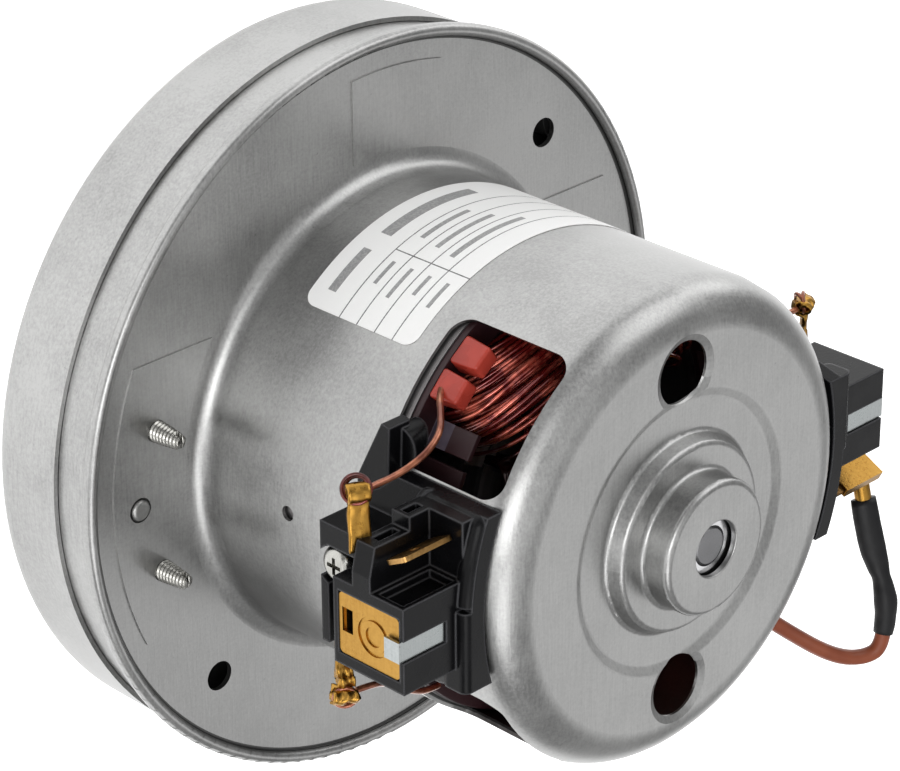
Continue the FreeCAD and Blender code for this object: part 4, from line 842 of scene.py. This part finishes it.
def addHousings(values):
    parts = []
    for azimuth in values["azimuths"]:
        turn = math.radians(azimuth)
        out = np.array((math.cos(turn), math.sin(turn), 0.0))
        along = np.array((-math.sin(turn), math.cos(turn), 0.0))
        axes = np.stack([out, along, (0.0, 0.0, 1.0)])
        centre = out * values["radius"] + np.array((0.0, 0.0, values["height"]))
        points, faces = roundedBlock(values["half"], values["corner"])
        points[:, :2] *= 1 - values["taper"] * (points[:, 2:] / values["half"][2])
        parts.append((points @ axes + centre, faces))
    points, faces = joinParts(parts)
    closeSeams(makePiece("housings", points, faces, "redPlastic", "red_plastic", ["terminal_housings"]))


addHousings(housingValues)


# load screws: rolled thread and a forked tip

screwValues = {
    "places": [(51.2, 12.9), (51.2, -12.9), (-51.2, 12.9), (-51.2, -12.9)],
    "radius": 1.9, "pitch": 0.72, "depth": 0.32, "crest": (1.35, 0.15),
    "headRadius": 3.6, "headLow": 19.8, "headHigh": 22.0, "headChamfer": 0.15,
    "headProfile": ((0.55, 0.0), (0.86, 0.12), (0.98, 0.5), (1.0, 1.0)),
    "top": 31.4, "forkLow": 29.8, "forkHalf": 0.30, "prongSides": 15, "tipLong": 0.6, "tipRound": 0.35,
    "taperFrom": 25.6, "taper": 0.34, "taperPower": 1.4, "sides": 28, "rise": 0.09,
}


def threadRadius(values, angle, height):
    # r = (R - depth * |triangle wave of (height / pitch - angle / turn)|) * (1 - taper * share of the tip)
    phase = height / values["pitch"] - angle / (2 * math.pi)
    wave = np.abs(2 * (phase - np.floor(phase)) - 1)
    share = np.clip((height - values["taperFrom"]) / (values["top"] - values["taperFrom"]), 0, 1)
    narrow = 1 - values["taper"] * share ** values["taperPower"]
    steep, shift = values["crest"]
    return (values["radius"] - values["depth"] * np.clip(steep * wave - shift, 0, 1)) * narrow


def screwParts(values, x, y):
    angle = roundAngles(values["sides"])
    head, rise, chamfer = values["headRadius"], values["rise"], values["headChamfer"]
    low, high = values["headLow"], values["headHigh"]
    rows = [(head * share, low + height) for share, height in values["headProfile"]]
    rows += [(head, high - chamfer), (head - chamfer, high), (values["radius"], high)]
    rings = [onCylinder(r, angle, z) for r, z in rows]
    for z in np.arange(high + 0.1, values["forkLow"], rise):
        rings.append(onCylinder(threadRadius(values, angle, z), angle, z))
    parts = [stackRings(np.array(rings))]
    reach = math.acos(values["forkHalf"] / ((values["radius"] - values["depth"]) * (1 - values["taper"])))
    arc = np.linspace(-reach, reach, values["prongSides"])
    for way, turn in ((1, 0), (-1, math.pi)):
        prong = []
        for z in np.arange(values["forkLow"] - 0.3, values["top"] + 0.01, rise):
            tip = max(0, (z - values["top"] + values["tipLong"]) / values["tipLong"])
            r = threadRadius(values, arc + turn, z) * (1 - values["tipRound"] * tip ** 2)
            rim = onCylinder(r, arc, z)
            rim[:, 0] = np.maximum(rim[:, 0], values["forkHalf"])
            prong.append(rim * np.array((way, way, 1.0)))
        parts.append(stackRings(np.array(prong)))
    return [(points + np.array((x, y, 0.0)), faces) for points, faces in parts]


screwPieces = sum([screwParts(screwValues, x, y) for x, y in screwValues["places"]], [])
makePiece("loadScrews", *joinParts(screwPieces), "screwSteel", "screw_steel", ["bracket_screws"])
print("screws cut")


# field windings: many turns of wire, each a rounded rectangle wrapped on a cylinder

windingValues = {
    "wire": 0.36, "layers": 6, "turnsPerLayer": 12, "samples": 112, "sides": 6,
    "radii": (26.4, 34.3), "arcs": (39.6, 62.0), "ends": (1.7, 15.0), "coreLow": 40.0, "coreHigh": 66.0,
    "square": 2 / 3.0, "uneven": 0.025, "drifts": (0.40, 0.34, 0.26, 0.14), "driftOut": 0.7,
    "limits": (25.8, 34.4),
}


def loopTubes(paths, radius, sides):
    # round wires on closed centre lines: centre + radius * (side * cos(a) + front * sin(a))
    count, steps = paths.shape[:2]
    ahead = unit(np.roll(paths, -1, axis=1) - np.roll(paths, 1, axis=1))
    outward = unit(paths * np.array((1.0, 1.0, 0.0)) + 1e-6)
    side = unit(np.cross(ahead, outward))
    front = np.cross(side, ahead)
    angle = roundAngles(sides)[None, None, :, None]
    out = np.cos(angle) * side[:, :, None] + np.sin(angle) * front[:, :, None]
    rings = paths[:, :, None] + radius * out
    index = np.arange(count * steps * sides).reshape(count, steps, sides)
    after = np.roll(index, -1, axis=1)
    quads = np.stack([index, np.roll(index, -1, axis=2), np.roll(after, -1, axis=2), after], axis=3)
    return rings.reshape(-1, 3), [tuple(quad) for quad in quads.reshape(-1, 4).tolist()]


def betweenEnds(ends, share):
    return ends[0] + (ends[1] - ends[0]) * share


def fieldPaths(values, pole, seed):
    # turn k of layer j: a superellipse in (arc, height) wrapped at radius R_j, with a slow random drift
    rng = np.random.default_rng(seed)
    turns = values["layers"] * values["turnsPerLayer"]
    order = np.arange(turns)
    share = (order % values["turnsPerLayer"] + 0.5) / values["turnsPerLayer"]
    share = share + rng.normal(0, values["uneven"], turns)
    radius = betweenEnds(values["radii"], order // values["turnsPerLayer"] / (values["layers"] - 1))
    t = np.linspace(0, 2 * math.pi, values["samples"], endpoint=False)
    cosine, sine = [np.sign(wave) * np.abs(wave) ** values["square"] for wave in (np.cos(t), np.sin(t))]
    first, second, third, fourth = [rng.normal(0, spread, (turns, 1)) for spread in values["drifts"]]
    drift = (first * np.cos(t) + second * np.sin(2 * t + 1) + third * np.cos(3 * t)
             + fourth * np.sin(7 * t + order[:, None]))
    arc = betweenEnds(values["arcs"], share)
    reach = (values["coreHigh"] - values["coreLow"]) / 2 + betweenEnds(values["ends"], share)
    middle = (values["coreHigh"] + values["coreLow"]) / 2
    height = middle + reach[:, None] * sine + drift
    r = np.clip(radius[:, None] + values["driftOut"] * drift, *values["limits"])
    return onCylinder(r, np.radians(pole + arc[:, None] * cosine), height)


for name, pole, seed in (("front", -90.0, 4), ("rear", 90.0, 9)):
    paths = fieldPaths(windingValues, pole, seed)
    points, faces = loopTubes(paths, windingValues["wire"], windingValues["sides"])
    makePiece("field" + name.capitalize(), points, faces, "redEnamel", "red_enamel_copper",
              ["field_winding_" + name, "field_coil_" + name])
print("field wound")


# armature winding: coils that span five slots, crossing in a ball at each end

armatureValues = {
    "slots": 12, "span": 5, "perSlot": 6, "wire": 0.42, "sides": 6, "coreLow": 40.0, "coreHigh": 66.0,
    "slotRadii": (11.2, 16.2), "endHeights": (1.0, 6.3), "least": 6.6, "dip": 0.62, "uneven": 0.15,
    "archPoints": 24, "legPoints": 5, "archPower": 0.6,
}


def armaturePaths(values, seed=3):
    # up one slot, over the end at radius r - dip * sin(pi u) and height h * sin(pi u) ** 0.6, and back
    rng = np.random.default_rng(seed)
    total = values["slots"] * values["perSlot"]
    slot, turn = np.arange(total) % values["slots"], np.arange(total) // values["slots"]
    start = np.radians(slot * 360.0 / values["slots"])[:, None]
    width = math.radians(360.0 / values["slots"] * values["span"])
    share = (turn + 0.5) / values["perSlot"]
    radius = betweenEnds(values["slotRadii"], share)
    u = np.linspace(0, 1, values["archPoints"] + 2)[1:-1]
    arch = np.sin(math.pi * u)
    ends = betweenEnds(values["endHeights"], share) + rng.normal(0, values["uneven"], total)
    height = ends[:, None] * arch ** values["archPower"]
    dip = ((radius - values["least"]) * values["dip"] * (1 - share * 0.5))[:, None] * arch
    r, over = radius[:, None] - dip, start + width * u
    rise = np.linspace(values["coreLow"], values["coreHigh"], values["legPoints"])
    return np.concatenate([onCylinder(radius[:, None], start, rise),
                           onCylinder(r, over, values["coreHigh"] + height),
                           onCylinder(radius[:, None], start + width, rise[::-1]),
                           onCylinder(r, over, values["coreLow"] - height)[:, ::-1]], axis=1)


points, faces = loopTubes(armaturePaths(armatureValues), armatureValues["wire"], armatureValues["sides"])
makePiece("armatureWires", points, faces, "redEnamel", "red_enamel_copper", ["armature_winding"],
          body="rotor")
print("armature wound")


# brush springs: a helix with flat end turns

springValues = {
    "start": 33.05, "finish": 56.75, "wire": 0.35, "radius": 2.3, "turns": 9.0, "height": 80.9,
    "travel": 10.0, "endRate": 0.25, "stepsPerTurn": 20, "sides": 10,
}


def springPoints(values):
    # x follows a rate that is low in the first and last turn, (y, z) run round a circle
    t = np.linspace(0, 1, int(values["turns"] * values["stepsPerTurn"]))
    ease = np.clip(np.minimum(t, 1 - t) * values["turns"], 0, 1)
    rate = values["endRate"] + (1 - values["endRate"]) * ease ** 2 * (3 - 2 * ease)
    run = np.concatenate([[0], np.cumsum((rate[1:] + rate[:-1]) / 2)])
    long = values["finish"] - values["start"] - 2 * values["wire"]
    turn = t * values["turns"] * 2 * math.pi
    x = values["start"] + values["wire"] + long * run / run[-1]
    path = np.stack([x, values["radius"] * np.cos(turn), values["height"] + values["radius"] * np.sin(turn)],
                    axis=1)
    return stackRings(sweepRings(path, values["wire"], values["wire"], values["sides"], (1.0, 0.0, 0.0)))


for hand, sign in hands.items():
    points, faces = springPoints(springValues)
    spring = makePiece("brushSpring" + hand.upper(), halfTurn(points, hand), faces, "brightStrip",
                       "bright_strip", ["brush_spring_" + hand])
    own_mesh(spring)
print("springs wound")


# floor, backdrop and light

floorValues = {"size": 3.0, "colour": 0.86, "rough": 0.8, "shine": 0.1, "glow": 0.75}


def addFloor(values):
    # a camera, glossy or transmission ray sees the floor with an even glow added
    size = values["size"]
    mesh = bpy.data.meshes.new("floor")
    mesh.from_pydata([(-size, -size, 0), (size, -size, 0), (size, size, 0), (-size, size, 0)], [],
                     [(0, 1, 2, 3)])
    material, tree, shader = newMaterial("paleFloor")
    feed(tree, shader.inputs, {"Base Color": values["colour"], "Roughness": values["rough"],
                               "Specular IOR Level": values["shine"]})
    glow = addNode(tree, "Emission", {"Color": white, "Strength": values["glow"]})
    path = addNode(tree, "LightPath").outputs
    mirrored = larger(tree, path["Is Glossy Ray"], path["Is Transmission Ray"])
    seen = larger(tree, path["Is Camera Ray"], mirrored)
    both = addNode(tree, "AddShader", {0: shader.outputs[0], 1: glow.outputs[0]})
    mix = addNode(tree, "MixShader", {0: seen, 1: shader.outputs[0], 2: both.outputs[0]})
    tree.links.new(mix.outputs[0], tree.nodes["Material Output"].inputs["Surface"])
    mesh.materials.append(material)
    floor = placeObject("floor", mesh)


lightValues = {
    "worldLight": 0.43,
    "backdrop": 1.0,
    "target": (0, 0, 0.05),
    "lamps": {
        "topBox": {"from": (-0.45, -0.73, 0.52), "size": 0.7, "power": 3.0},
        "farBox": {"from": (-0.88, -0.50, 0.12), "size": 0.4, "power": 1.1},
        "nearBox": {"from": (0.82, -0.16, 0.78), "size": 0.5, "power": 4.0},
        "frontBox": {"from": (0.88, 0.10, 0.32), "size": 0.5, "power": 0.8},
        "leftBox": {"from": (0.60, 0.52, 0.82), "size": 0.55, "power": 2.8},
        "cameraBox": {"from": (0.53, -0.62, 0.79), "size": 0.4, "power": 0.7},
        "rightBox": {"from": (-0.61, 0.46, 0.67), "size": 0.42, "power": 0.60},
        "overBox": {"from": (0.1, 0.1, 1.1), "size": 0.9, "power": 1.5},
    },
}


def addWorld(values):
    # plain light on the object, and a white backdrop for the camera alone
    world = bpy.data.worlds.new("studio")
    bpy.context.scene.world = world
    world.use_nodes = True
    tree = world.node_tree
    tree.nodes.clear()
    plain, backdrop = [addNode(tree, "Background", {"Color": white, "Strength": strength}).outputs[0]
                       for strength in (values["worldLight"], values["backdrop"])]
    seen = addNode(tree, "LightPath").outputs["Is Camera Ray"]
    mix = addNode(tree, "MixShader", {0: seen, 1: plain, 2: backdrop})
    addNode(tree, "OutputWorld", {0: mix.outputs[0]})


def addLamps(values):
    for name, lampValues in values["lamps"].items():
        data = bpy.data.lights.new(name, "AREA")
        data.energy = lampValues["power"]
        data.shape = "SQUARE"
        data.size = lampValues["size"]
        lamp = placeObject(name, data)
        lamp.location = lampValues["from"]
        lamp.rotation_mode = "QUATERNION"
        away = Vector(lampValues["from"]) - Vector(values["target"])
        lamp.rotation_quaternion = away.to_track_quat("Z", "Y")


addFloor(floorValues)
addWorld(lightValues)
addLamps(lightValues)
bpy.context.scene.view_settings.view_transform = "Standard"
print("stage lit")
